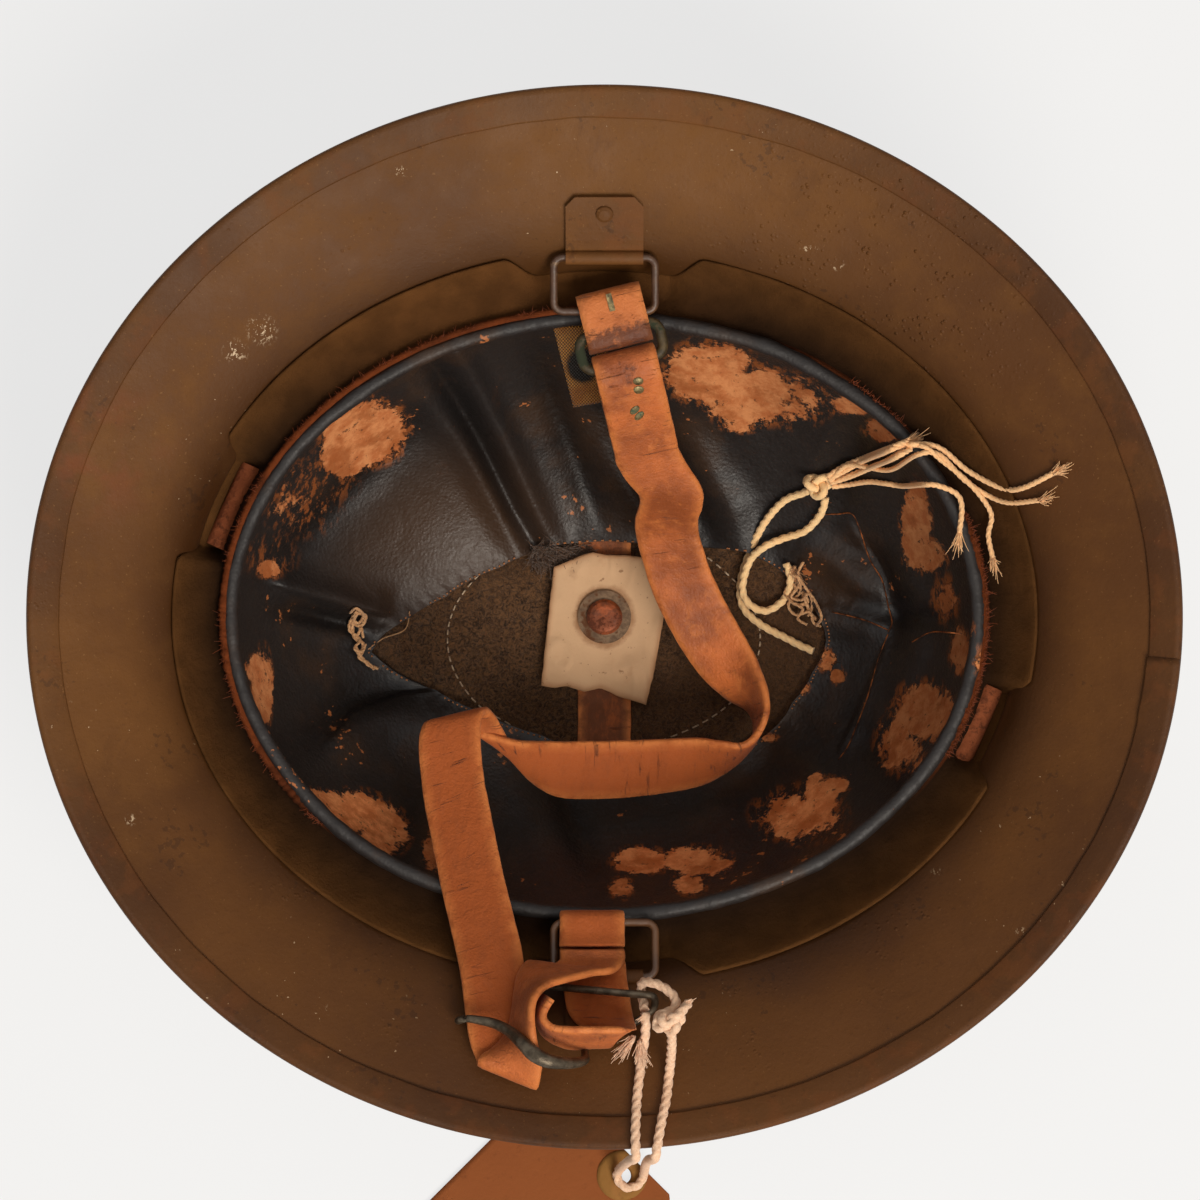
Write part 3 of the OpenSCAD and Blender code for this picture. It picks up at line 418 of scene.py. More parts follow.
def chips(m, c):
    """White and rusty places in the paint."""
    flecks = m.step(m.noise(640, 2, 0.5), 0.74, 0.76)
    c = m.mix(m.times(flecks, m.step(m.noise(16, 3), 0.52, 0.6)), c, PALE_CHIP)
    for a, b, z, reach, squeeze in CHIPS:
        torn = m.step(m.noise(900, 3, 0.75, m.stretch(1, 0.6, 1)), 0.56, 0.6)
        c = m.mix(m.times(m.spot(*px(a, b, z), reach, squeeze), torn), c, WHITE_CHIP)
    rusty = m.step(m.noise(85, 5), 0.45, 0.65, 0, 0.35)
    return m.mix(m.times(m.spot(-135, 45, 26), rusty), c, RED_RUST)


def painted_shade(m, c, axis, start, end, tint):
    """Painted shade: the paint darkens along an axis, from start to end in metres."""
    return m.mix(m.step(m.xyz()[axis], start, end), c, m.tint(c, tint))


def paint(name, base, dark, light, chipped=True, rust=0.0, deep_shade=False):
    """Old brown paint: where attribute deep is set, painted shade darkens it towards the liner."""
    m = Mat(name, rough=0.62, spec=0.2)
    mid = m.noise(60, 6, 0.65)
    c = m.over(dark, base, m.noise(9, 5, 0.6), 0.35, 0.65)
    c = m.over(c, light, mid, 0.45, 0.75, 0.3)
    c = m.over(c, dark, m.noise(38, 6, 0.7, m.stretch(1, 1, 0.2), 1.2), 0.54, 0.7, 0.45)
    grain = m.noise(900, 3, 0.6)
    c = m.over(c, dark, grain, 0.55, 0.75, 0.35)
    c = m.over(c, PALE_SPECK, m.noise(1150, 2, 0.5), 0.69, 0.72, 0.25)
    dirt = m.step(m.times(m.noise(420, 3), m.noise(45, 3)), 0.38, 0.42)
    c = m.mix(m.times(dirt, 0.35), c, DIRT)
    gritty = m.math("MAXIMUM", m.times(m.step(m.noise(22, 4, 0.6), 0.52, 0.66), 0.35), m.spot(75, 92, 60))
    gritty = m.times(gritty, m.step(m.noise(160, 3), 0.45, 0.6))
    grit = m.times(m.step(m.cells(560), 0.34, 0.08), gritty)
    if chipped:
        c = chips(m, c)
    # Painted shade: the paint is darker towards the top, the bottom and the right of the bowl.
    c = painted_shade(m, c, "Y", 0.06, 0.14, (0.84, 0.82, 0.78, 1))
    c = painted_shade(m, c, "Y", 0.03, -0.12, (0.58, 0.52, 0.46, 1))
    c = painted_shade(m, c, "X", 0.0, 0.14, (0.84, 0.80, 0.76, 1))
    # Painted shade: darker from the brim's flare down into the bowl, by attribute deep.
    if deep_shade:
        c = m.mix(m.attr("deep"), c, m.tint(c, (0.40, 0.36, 0.30, 1)))
    if rust:
        c = m.over(c, RUST, m.noise(120, 5), 0.5, 0.62, rust)
    m.color(c)
    m.rough(m.step(mid, 0.3, 0.8, 0.52, 0.72))
    m.bump((m.noise(140, 5, 0.6), 0.0002), (grain, 0.0001), (grit, 0.00035))
    return m.m


def worn_wire():
    m = Mat("wire_paint", rough=0.45, spec=0.5)
    bare = m.step(m.noise(260, 5, 0.6), 0.6, 0.7)
    c = m.over(lin(92, 60, 34), lin(68, 42, 23), m.noise(90, 4), 0.4, 0.6)
    m.color(m.mix(bare, c, lin(118, 92, 66)))
    m.metal(m.times(bare, 0.4))
    m.bump((m.noise(500, 4), 0.0002))
    return m.m


def leather(name, grain_col, edge_col, dark_col, flesh_col, stain=0.8, cracked=0.42):
    """Strap leather: attributes edge (0 to 1), flesh (0 or 1) and stain (0 to 1)."""
    m = Mat(name, rough=0.56, spec=0.35, sheen=0.05)
    fine = m.noise(700, 5, 0.7)
    c = m.over(dark_col, grain_col, m.noise(55, 5, 0.6), 0.35, 0.68)
    c = m.over(c, edge_col, m.noise(180, 6, 0.7), 0.5, 0.72, 0.5)
    c = m.over(c, dark_col, fine, 0.55, 0.72, 0.45)
    c = m.over(c, edge_col, m.noise(300, 3, 0.5, m.stretch(1, 0.25, 1)), 0.62, 0.72, 0.35)
    flesh = m.over(flesh_col, dark_col, m.noise(240, 6, 0.75, m.stretch(1, 0.4, 0.4)), 0.45, 0.75, 0.6)
    c = m.mix(m.attr("flesh"), c, flesh)
    cracks = m.step(m.noise(1.0, 5, 0.65, m.uv(70, 620), 0.6), 0.6, 0.68)
    cracks = m.times(cracks, m.step(m.noise(46, 3), cracked, cracked + 0.18))
    c = m.mix(m.times(cracks, 0.55), c, lin(74, 36, 16))
    c = m.mix(m.times(m.attr("edge"), m.step(m.noise(240, 5), 0.25, 0.6)), c, edge_col)
    spread = m.plus(m.attr("stain"), m.times(m.noise(330, 6, 0.75), 0.9))
    c = m.over(c, lin(64, 28, 12), spread, 1.0, 1.18, stain)
    m.color(c)
    m.rough(m.plus(m.step(fine, 0.3, 0.7, 0.46, 0.62), m.times(m.attr("flesh"), 0.25)))
    m.bump((m.noise(110, 4), 0.0006), (m.cells(1500), 0.00009), (fine, 0.00026),
           (m.math("SUBTRACT", 1.0, cracks), 0.0003))
    return m.m


def black_leather(name, rough, shine):
    """Liner leather: attributes worn (how bare), tone (how bright where bare, painted light and shade),
    valley (0 to 1, painted shade in the folds).
    """
    m = Mat(name, rough=rough, spec=shine, coat=0.03, coat_rough=0.35)
    fine = m.noise(620, 5, 0.7)
    brown = m.math("MAXIMUM", m.step(m.noise(30, 5, 0.6), 0.5, 0.72, 0, 0.7),
                   m.times(m.spot(-42, 20, 46, 1.2), 0.8))
    c = m.mix(brown, lin(36, 32, 31), lin(64, 44, 29))
    c = m.over(c, lin(84, 54, 34), m.noise(90, 6, 0.7), 0.6, 0.78, 0.3)
    c = m.over(c, lin(24, 20, 19), fine, 0.6, 0.8, 0.4)
    # Painted shade: darker in the folds' valleys.
    c = m.mix(m.times(m.attr("valley"), 0.8), c, lin(15, 12, 11))
    c = m.over(c, lin(166, 100, 58), m.times(m.noise(430, 3), m.noise(60, 3)), 0.40, 0.43)
    ragged = m.times(m.math("SUBTRACT", m.noise(130, 8, 0.74), 0.5), 1.7)
    frayed = m.times(m.math("SUBTRACT", m.noise(900, 4, 0.7), 0.5), 0.5)
    bare = m.step(m.plus(m.attr("worn"), m.plus(ragged, frayed)), 0.46, 0.56)
    near = m.step(m.attr("worn"), 0.1, 0.45, 0, 0.95)
    scraped = m.times(near, m.step(m.noise(420, 6, 0.75, m.stretch(1, 0.3, 0.5)), 0.5, 0.58))
    c = m.mix(scraped, c, lin(132, 74, 38))
    tan = m.over(lin(180, 104, 58), lin(208, 138, 88), m.noise(240, 6, 0.7), 0.35, 0.65)
    tan = m.over(tan, lin(150, 80, 36), m.noise(70, 5, 0.65), 0.48, 0.62, 0.75)
    tan = m.over(tan, lin(46, 30, 20), m.noise(360, 5, 0.75), 0.6, 0.66, 0.8)
    # tone: painted light and shade that brightens or darkens the bare leather by place.
    m.color(m.mix(bare, c, m.tint(tan, m.attr("tone"))))
    m.rough(m.plus(m.step(fine, 0.3, 0.75, rough - 0.1, rough + 0.1), m.times(bare, 0.5)))
    m.bump((m.noise(120, 4, 0.5), 0.00022), (m.cells(1000), 0.00008), (fine, 0.00016),
           (m.math("SUBTRACT", 1.0, bare), 0.0004))
    return m.m


def suede_and_shade_mat():
    """Band suede and a lip of painted shade: attributes dark (the lip towards the shell) and far (how near
    the shell it is).
    """
    m = Mat("band_suede_and_shade", rough=0.9, spec=0.06)
    c = m.mix(m.noise(300, 6, 0.7), lin(84, 40, 20), lin(138, 70, 36))
    c = m.over(c, lin(70, 36, 22), m.noise(60, 4), 0.5, 0.7, 0.7)
    # Painted shade of the wall on the lip: dark by the bead, lighter towards the shell, with a painted
    # lighter patch towards the top.
    lip = m.mix(m.attr("far"), lin(34, 20, 10), lin(88, 57, 29))
    lip = m.mix(m.times(m.spot(-30, 96, 80), 0.4), lip, lin(112, 72, 38))
    c = m.mix(m.attr("dark"), c, m.tint(lip, m.step(m.noise(120, 5), 0.3, 0.7, 0.8, 1.15)))
    m.color(c)
    m.bump((m.noise(900, 6, 0.8), 0.0006), (m.noise(200, 5), 0.0006))
    return m.m


def rubber_mat():
    m = Mat("tube_rubber", rough=0.85, spec=0.2)
    pores = m.noise(420, 6, 0.75)
    c = m.mix(m.noise(160, 6, 0.7), lin(122, 64, 38), lin(178, 100, 62))
    m.color(m.over(c, lin(84, 44, 28), pores, 0.5, 0.62, 0.7))
    m.bump((pores, 0.0012), (m.cells(500), 0.0003))
    return m.m


def felt_mat():
    m = Mat("pad_felt", rough=0.95, spec=0.06, sheen=0.12)
    fibres = m.noise(650, 8, 0.8, None, 1.5)
    c = m.over(lin(46, 30, 19), lin(124, 87, 55), fibres, 0.38, 0.62)
    c = m.over(c, lin(92, 62, 38), m.noise(30, 4), 0.45, 0.7, 0.5)
    c = m.over(c, lin(128, 84, 54), m.noise(520, 3, 0.6, m.stretch(1, 0.35, 1)), 0.68, 0.76, 0.7)
    m.color(c)
    m.bump((fibres, 0.0012), (m.noise(160, 5), 0.001))
    return m.m


def card_mat():
    """Card: attributes edge (0 to 1) and stain (0 to 1)."""
    m = Mat("pale_card", rough=0.8, spec=0.2)
    c = m.mix(m.noise(30, 5, 0.6), lin(214, 178, 142), lin(188, 148, 112))
    c = m.over(c, lin(120, 78, 46), m.noise(420, 3, 0.6), 0.66, 0.72, 0.6)
    c = m.over(c, lin(176, 124, 84), m.noise(75, 5, 0.7), 0.58, 0.8, 0.5)
    c = m.mix(m.times(m.attr("edge"), 0.6), c, lin(150, 96, 58))
    spread = m.plus(m.attr("stain"), m.times(m.noise(140, 5, 0.7), 0.8))
    c = m.over(c, lin(132, 86, 52), spread, 0.72, 1.2, 0.7)
    c = m.over(c, lin(110, 70, 40), m.noise(900, 3), 0.7, 0.74, 0.6)
    m.color(c)
    m.bump((m.noise(160, 5, 0.6), 0.0004), (m.noise(1200, 3), 0.00008))
    return m.m


def tag_mat(name, a, b, dirt):
    m = Mat(name, rough=0.82, spec=0.2)
    c = m.mix(m.noise(24, 5, 0.6), a, b)
    c = m.over(c, dirt, m.noise(300, 5, 0.7), 0.55, 0.75, 0.4)
    c = m.over(c, lin(196, 128, 82), m.noise(60, 3, 0.5, m.stretch(1, 0.2, 1)), 0.6, 0.7, 0.3)
    m.color(c)
    m.bump((m.noise(700, 4), 0.00015), (m.noise(50, 3), 0.0003))
    return m.m


def cotton(name, pale, deep):
    m = Mat(name, rough=0.88, spec=0.15, sheen=0.2)
    fibres = m.noise(1500, 5, 0.75)
    c = m.over(deep, pale, fibres, 0.3, 0.7)
    m.color(m.over(c, deep, m.noise(110, 4), 0.5, 0.75, 0.55))
    m.bump((fibres, 0.00025))
    return m.m


def canvas_mat():
    """Canvas: attribute hole (0 to 1), where a dark disc is painted as the hole's shade."""
    m = Mat("patch_canvas", rough=0.9, spec=0.15, sheen=0.1)
    pitch = 0.00085
    across, along = [m.math("SINE", m.times(o, 2 * math.pi / pitch)) for o in m.xyz(m.uv())[:2]]
    weave = m.plus(m.times(m.times(across, along), 0.5), 0.5)
    c = m.over(lin(88, 54, 22), lin(186, 130, 62), weave, 0.3, 0.75)
    c = m.over(c, lin(120, 66, 26), m.noise(110, 5), 0.45, 0.7, 0.6)
    # Painted shade: a dark disc where the hole is.
    m.color(m.mix(m.attr("hole"), c, lin(20, 14, 10)))
    m.bump((weave, 0.0004), (m.noise(300, 4), 0.0003))
    return m.m


def metal(name, base, dark, patina, amount, rough, metallic):
    m = Mat(name, rough=rough, metallic=metallic, spec=0.5)
    c = m.over(dark, base, m.noise(300, 6, 0.65), 0.35, 0.65)
    reach = amount * 0.25
    crust = m.step(m.noise(150, 6, 0.7), 0.62 - reach, 0.7 - reach)
    m.color(m.mix(crust, c, patina))
    m.metal(m.math("SUBTRACT", metallic, m.times(crust, metallic)))
    m.rough(m.plus(rough, m.times(crust, 0.4)))
    m.bump((m.noise(700, 5, 0.7), 0.00015), (m.noise(180, 4), 0.00012))
    return m.m


shell_paint = paint("shell_paint", lin(118, 77, 36), lin(90, 55, 23), lin(130, 88, 44), deep_shade=True)
rim_paint = paint("rim_paint", lin(112, 73, 35), lin(78, 47, 21), lin(128, 87, 46), rust=0.12)
lug_paint = paint("lug_paint", lin(114, 74, 36), lin(80, 48, 22), lin(128, 87, 45), chipped=False, rust=0.15)
strap_mat = leather("strap_leather", lin(196, 106, 52), lin(208, 122, 62), lin(138, 70, 32), lin(168, 84, 35))
tab_mat = leather("tab_leather", lin(206, 118, 62), lin(218, 134, 76), lin(146, 76, 36), lin(120, 70, 44),
                  cracked=0.15)
strip_mat = leather("strip_leather", lin(236, 136, 74), lin(244, 150, 86), lin(208, 112, 56),
                    lin(120, 70, 44), stain=0.4)
cap_mat = black_leather("cap_leather", 0.43, 0.3)
roll_mat = black_leather("roll_leather", 0.52, 0.3)
cord_mat = cotton("drawcord_cotton", lin(255, 222, 168), lin(255, 206, 148))
tail_mat = cotton("tail_cotton", lin(255, 212, 160), lin(244, 186, 132))
string_mat = cotton("tag_string_cotton", lin(255, 222, 194), lin(228, 182, 148))
net_mat = cotton("net_cotton", lin(232, 184, 136), lin(166, 116, 76))
stitch_mat = cotton("stitch_thread", lin(222, 198, 170), lin(150, 120, 92))
copper = metal("crown_copper", lin(160, 78, 34), lin(92, 44, 18), lin(84, 38, 16), 0.55, 0.55, 0.4)
washer = metal("washer_steel", lin(132, 106, 80), lin(84, 60, 40), lin(90, 54, 30), 0.5, 0.6, 0.45)
brass = metal("patina_brass", lin(84, 66, 36), lin(50, 40, 22), lin(40, 46, 28), 0.5, 0.55, 0.3)
gunmetal = metal("buckle_steel", lin(104, 92, 76), lin(64, 55, 43), lin(60, 43, 28), 0.25, 0.42, 0.7)
prong = metal("prong_brass", lin(168, 150, 104), lin(70, 62, 40), lin(66, 80, 58), 0.3, 0.42, 0.6)


def assign(node, mat):
    o = nodes[node]
    for child in ([o] if o.type == "MESH" else list(o.children)):
        if child.type == "MESH":
            child.data.materials.clear()
            child.data.materials.append(mat)


def shell():
    """The steel bowl, both sides, with slight dents and the hole of the crown rivet."""
    ring = [0.02, 0.06, 0.12] + [0.2 + 0.8 * i / 22 for i in range(22)] + [1 + i / 46 for i in range(47)]
    around, hole, thick = 288, 2.7, 0.9
    top, low = [], []
    for s in ring:
        for j in range(around):
            phi = 2 * math.pi * j / around
            p = inner(s, phi)
            n = skin_normal(s, phi)
            dent = (wobble(p, 38, 0.35) + wobble(p, 14, 0.12, 3.3)) * smooth(0.3, 0.8, s)
            top.append(p + n * dent)
            low.append(p + n * (dent - thick))
    for side, lower in ((top, 0), (low, -thick)):
        for j in range(around):
            a = 2 * math.pi * j / around
            side[j] = np.array([hole * math.cos(a), hole * math.sin(a), CROWN + lower])
    n = len(ring)
    under_side = n * around
    faces = grid(n, around, flip=True)
    faces += [tuple(i + under_side for i in reversed(f)) for f in faces[:]]
    for j in range(around):
        k = (j + 1) % around
        a, b = (n - 1) * around + j, (n - 1) * around + k
        faces.append((a, a + under_side, b + under_side, b))
        faces.append((j, k, k + under_side, j + under_side))
    # deep: painted shade, 1 below the flare and 0 on the brim.
    deep = [float(smooth(1.62, 1.15, s)) for s in ring for _ in range(around)]
    o = make("shell_steel", top + low, faces, "helmet", shell_paint, {"deep": deep + [0.0] * len(low)})
    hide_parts("shell")


def lip_at(width):
    """Where on the bowl's curve the folded strip's inner edge lies."""
    low, high = 1.2, 2.0
    for _ in range(16):
        s = (low + high) / 2
        if section(s, AX, RX)[0] < RX + 0.7 - width:
            low = s
        else:
            high = s
    return low


def rim():
    """The folded strip round the edge; its end laps over its start at the right."""
    around, turns, start = 480, 1.004, -math.radians(6)
    width, t, shell_t = 8.0, 0.6, 0.9
    verts = []
    for j in range(around):
        phi = 2 * math.pi * turns * j / (around - 1) + start
        turn = (phi - start) / (2 * math.pi)
        w = width + 0.25 * noise.noise(Vector((12 * math.cos(phi), 12 * math.sin(phi), 0)))
        if turn > 0.985:
            w += 0.3
        lip = lip_at(w)
        mid = (2 + lip) / 2
        off = 0.15 + 0.3 * float(smooth(0.975, 0.99, turn))
        out = inner(2, phi) - inner(1.98, phi)
        out /= np.linalg.norm(out)
        e, ne = inner(2, phi), skin_normal(2, phi)
        l, nl = inner(lip, phi), skin_normal(lip, phi)
        c, nc = inner(mid, phi), skin_normal(mid, phi)
        dent = wobble(e, 9, 0.16, 1.7)
        row = [l + nl * off, l + nl * (off + 0.45), l + (e - l) * 0.06 + nl * (off + t),
               c + nc * (off + t + dent * 0.4), e + ne * (off + t) - out * 1.0,
               e + ne * (off + t * 0.9) + out * 0.15, e + ne * off * 0.5 + out * 0.62,
               e - ne * 0.45 + out * 0.7, e - ne * (0.95 + t * 0.5) + out * 0.6,
               e - ne * (shell_t + t) + out * 0.1, c - nc * (1.05 + t), l - nl * (1.05 + t), l - nl * 1.05]
        verts += row
    k = len(row)
    o = make("rim_strip", verts, grid(around, k) + ends(around, k), "helmet", rim_paint)
    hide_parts("rim_binding")


# Liner cap: its opening in the photograph's frame, measured from its own centre
OPEN = [(372, 652), (384, 634), (410, 617), (445, 597), (500, 567), (548, 546), (600, 541), (650, 544),
        (700, 547), (748, 552), (790, 578), (815, 608), (826, 640), (812, 672), (792, 702), (768, 734),
        (735, 752), (680, 762), (620, 758), (575, 748), (540, 735), (480, 712), (436, 690), (396, 672)]
OPEN_X, OPEN_Y, OPEN_LONG, OPEN_SHORT, OPEN_Z = 600, 648, 225, 105, 18


def open_radius():
    """The opening's outline as angles and radii on an ellipse of its size."""
    pts = []
    for x, y in OPEN:
        a, b = (x - OPEN_X) / OPEN_LONG, (OPEN_Y - y) / OPEN_SHORT
        pts.append((math.atan2(b, a), math.hypot(a, b)))
    pts.sort()
    an = np.array([p[0] for p in pts])
    ra = np.array([p[1] for p in pts])
    return np.concatenate([an - 2 * math.pi, an, an + 2 * math.pi]), np.concatenate([ra, ra, ra])


OPEN_A, OPEN_R = open_radius()


def opening(phi):
    a = math.atan2(math.sin(phi), math.cos(phi))
    r = float(np.interp(a, OPEN_A, OPEN_R))
    return px(OPEN_X + OPEN_LONG * r * math.cos(a), OPEN_Y - OPEN_SHORT * r * math.sin(a), OPEN_Z)


# Folds: a line in the photograph's frame, height over the cap, half width, both in millimetres
FOLDS = [
    ([(446, 338), (470, 372), (500, 430), (527, 490), (548, 536)], 6.0, 3.8),
    ([(388, 380), (424, 400), (460, 440), (494, 500), (518, 552)], 3.8, 4.4),
    ([(428, 356), (456, 400), (484, 452), (510, 506), (536, 548)], -4.4, 2.8),
    ([(272, 590), (330, 602), (372, 622), (396, 622)], 3.4, 4.5),
    ([(276, 604), (340, 620), (372, 634)], -4.6, 3.2),
    ([(268, 576), (320, 520), (372, 470), (420, 420)], -2.4, 5.0),
    ([(300, 740), (350, 700), (400, 690), (440, 700)], -2.6, 5.5),
    ([(320, 760), (380, 720), (440, 720), (470, 740)], 2.6, 6.0),
    ([(530, 340), (552, 400), (580, 470), (604, 540)], -3.0, 4.4),
    ([(600, 440), (624, 480), (650, 520), (668, 546)], 2.6, 4.5),
    ([(690, 430), (714, 470), (736, 510), (746, 548)], 3.4, 5.5),
    ([(660, 430), (684, 480), (704, 520), (716, 548)], -2.4, 4.0),
    ([(800, 540), (840, 560), (868, 590), (876, 620)], 2.8, 5.0),
    ([(836, 540), (880, 560), (902, 600), (898, 650)], -2.6, 4.0),
    ([(890, 560), (915, 600), (916, 650), (900, 700)], 2.4, 4.5),
    ([(860, 600), (900, 616), (950, 622)], -2.6, 3.6),
    ([(780, 620), (830, 618), (880, 634)], 2.2, 4.4),
    ([(770, 740), (810, 780), (850, 830)], 2.6, 6.0),
    ([(700, 760), (720, 810), (730, 860)], 1.8, 6.5),
    ([(560, 760), (570, 820), (600, 880)], -2.2, 4.5),
    ([(500, 740), (520, 800), (560, 870)], 2.2, 6.5),
    ([(420, 760), (400, 830), (390, 880)], -1.8, 5.0),
    ([(240, 560), (232, 620), (250, 690)], 1.4, 5.0),
    ([(640, 330), (700, 380), (760, 450)], 1.8, 7.0),
    ([(870, 420), (850, 470), (840, 520)], -1.8, 5.0),
    ([(850, 720), (880, 760), (900, 800)], -1.6, 5.0),
]
# Edges where one panel laps over the next: a line, the step's height, its reach on the high side
STEPS = [
    ([(262, 582), (300, 596), (347, 609), (390, 618)], 3.6, 12.0),
    ([(829, 608), (862, 617), (892, 631)], 1.0, 7.0),
    ([(893, 633), (876, 676), (858, 715), (834, 762)], 1.2, 8.0),
    ([(848, 510), (868, 548), (884, 580), (893, 628)], -1.0, 8.0),
    ([(440, 690), (400, 694), (350, 712), (318, 752)], 1.6, 8.0),
]
# Bare places: photograph's x and y, half width, half height, and how bare
WORN = [(365, 432, 42, 34, 1.0), (345, 455, 26, 24, 0.9), (385, 420, 18, 20, 0.8),
        (300, 505, 44, 34, 0.40), (270, 556, 30, 22, 0.36), (268, 569, 12, 10, 0.8),
        (322, 480, 40, 30, 0.38), (710, 372, 44, 32, 1.0), (750, 395, 46, 30, 0.9),
        (792, 400, 42, 28, 0.55), (742, 418, 26, 14, 0.7), (850, 406, 24, 10, 0.75),
        (884, 430, 22, 12, 0.8), (916, 522, 15, 40, 0.95), (926, 556, 22, 18, 0.8),
        (945, 600, 14, 26, 0.55), (960, 652, 11, 24, 0.8), (925, 712, 32, 30, 0.95),
        (900, 745, 26, 30, 0.7), (262, 690, 11, 42, 0.95), (258, 668, 14, 14, 0.8),
        (350, 812, 42, 22, 0.95), (385, 830, 26, 26, 0.85), (312, 800, 20, 12, 0.8),
        (640, 860, 28, 14, 0.9), (696, 862, 36, 16, 0.85), (622, 888, 14, 12, 0.7),
        (690, 884, 18, 12, 0.7), (800, 815, 46, 28, 0.7), (822, 800, 18, 24, 0.85),
        (788, 826, 18, 14, 0.8), (836, 786, 14, 10, 0.8), (432, 852, 10, 22, 0.75),
        (826, 660, 14, 12, 0.7), (838, 676, 8, 10, 0.7), (802, 688, 8, 7, 0.8),
        (216, 612, 10, 14, 0.7), (262, 785, 8, 6, 0.6), (770, 738, 10, 5, 0.7), (560, 930, 40, 8, 0.5)]
BEAD_WORN = [(216, 612, 9, 14, 0.7), (968, 630, 8, 10, 0.6), (980, 660, 10, 16, 0.5), (260, 786, 8, 8, 0.6)]
# How bright the bare leather is, painted light and shade by place: a place, its reach, and the factor
TONES = [(916, 535, 55, 0.62), (950, 640, 50, 0.7), (925, 712, 45, 0.85), (352, 815, 60, 1.7),
         (786, 402, 40, 0.8), (300, 520, 55, 0.8), (660, 870, 90, 1.5), (805, 812, 50, 1.6)]
FOLD_Z = 45


def in_mm(table):
    return [([px(a, b, FOLD_Z) for a, b in line], h, w) for line, h, w in table]


FOLD_MM = in_mm(FOLDS)
STEP_MM = in_mm(STEPS)


def worn_at(x, y, spots, top, fall):
    """How bare the leather is at a pixel of the photograph."""
    most = 0.0
    for wx, wy, ra, rb, amount in spots:
        q = ((x - wx) / ra) ** 2 + ((y - wy) / rb) ** 2
        if q < 4:
            most = max(most, amount * (top - fall * q))
    return most


def tone_at(x, y):
    t = 1.0
    for tx, ty, reach, factor in TONES:
        t += (factor - 1) * math.exp(-((x - tx) ** 2 + (y - ty) ** 2) / reach ** 2)
    return t


def nearest(x, y, line):
    """The nearest place on a line of points: its distance, segment, share of it, and the side."""
    best = (1e9, 0, 0.0, 1.0)
    for i, ((ax, ay), (bx, by)) in enumerate(zip(line, line[1:])):
        dx, dy = bx - ax, by - ay
        t = max(0.0, min(1.0, ((x - ax) * dx + (y - ay) * dy) / (dx * dx + dy * dy)))
        d = math.hypot(x - ax - t * dx, y - ay - t * dy)
        if d < best[0]:
            best = (d, i, t, dx * (y - ay) - dy * (x - ax))
    return best


def fold_share(x, y, line, w):
    """How much of a fold's height is at x, y: full on its line, nothing at its ends."""
    d, i, t, _ = nearest(x, y, line)
    lens = [math.dist(a, b) for a, b in zip(line, line[1:])]
    along = (sum(lens[:i]) + t * lens[i]) / sum(lens)
    return math.exp(-(d / w) ** 2) * math.sin(math.pi * min(max(along * 0.92 + 0.04, 0), 1)) ** 0.5


def lap(x, y, line, h, w):
    """Height of a lapped edge: full on the left of the line, falling off over w, little on its right."""
    d, i, t, side = nearest(x, y, line)
    along = (i + t) / (len(line) - 1)
    tail = float(smooth(0, 0.18, along) * smooth(1, 0.82, along)) if 0 < along < 1 else 0.0
    if side > 0:
        return h * tail * (0.5 + 0.5 * smooth(0, 0.7, d)) * float(smooth(w, 0, d))
    return h * tail * 0.5 * (1 - float(smooth(0, 0.7, d)))


def within(values, x, reach):
    return min(values) - reach <= x <= max(values) + reach


def relief(x, y):
    """Height of the folds and laps at x, y, and how deep it lies in a fold's valley."""
    up, deep = 0.0, 0.0
    for line, h, w in FOLD_MM:
        if within([p[0] for p in line], x, 3 * w) and within([p[1] for p in line], y, 3 * w):
            share = fold_share(x, y, line, w)
            up += h * share
            if h < 0:
                deep = max(deep, share)
    for line, h, w in STEP_MM:
        if within([p[0] for p in line], x, w):
            up += lap(x, y, line, h, w)
    return up, deep


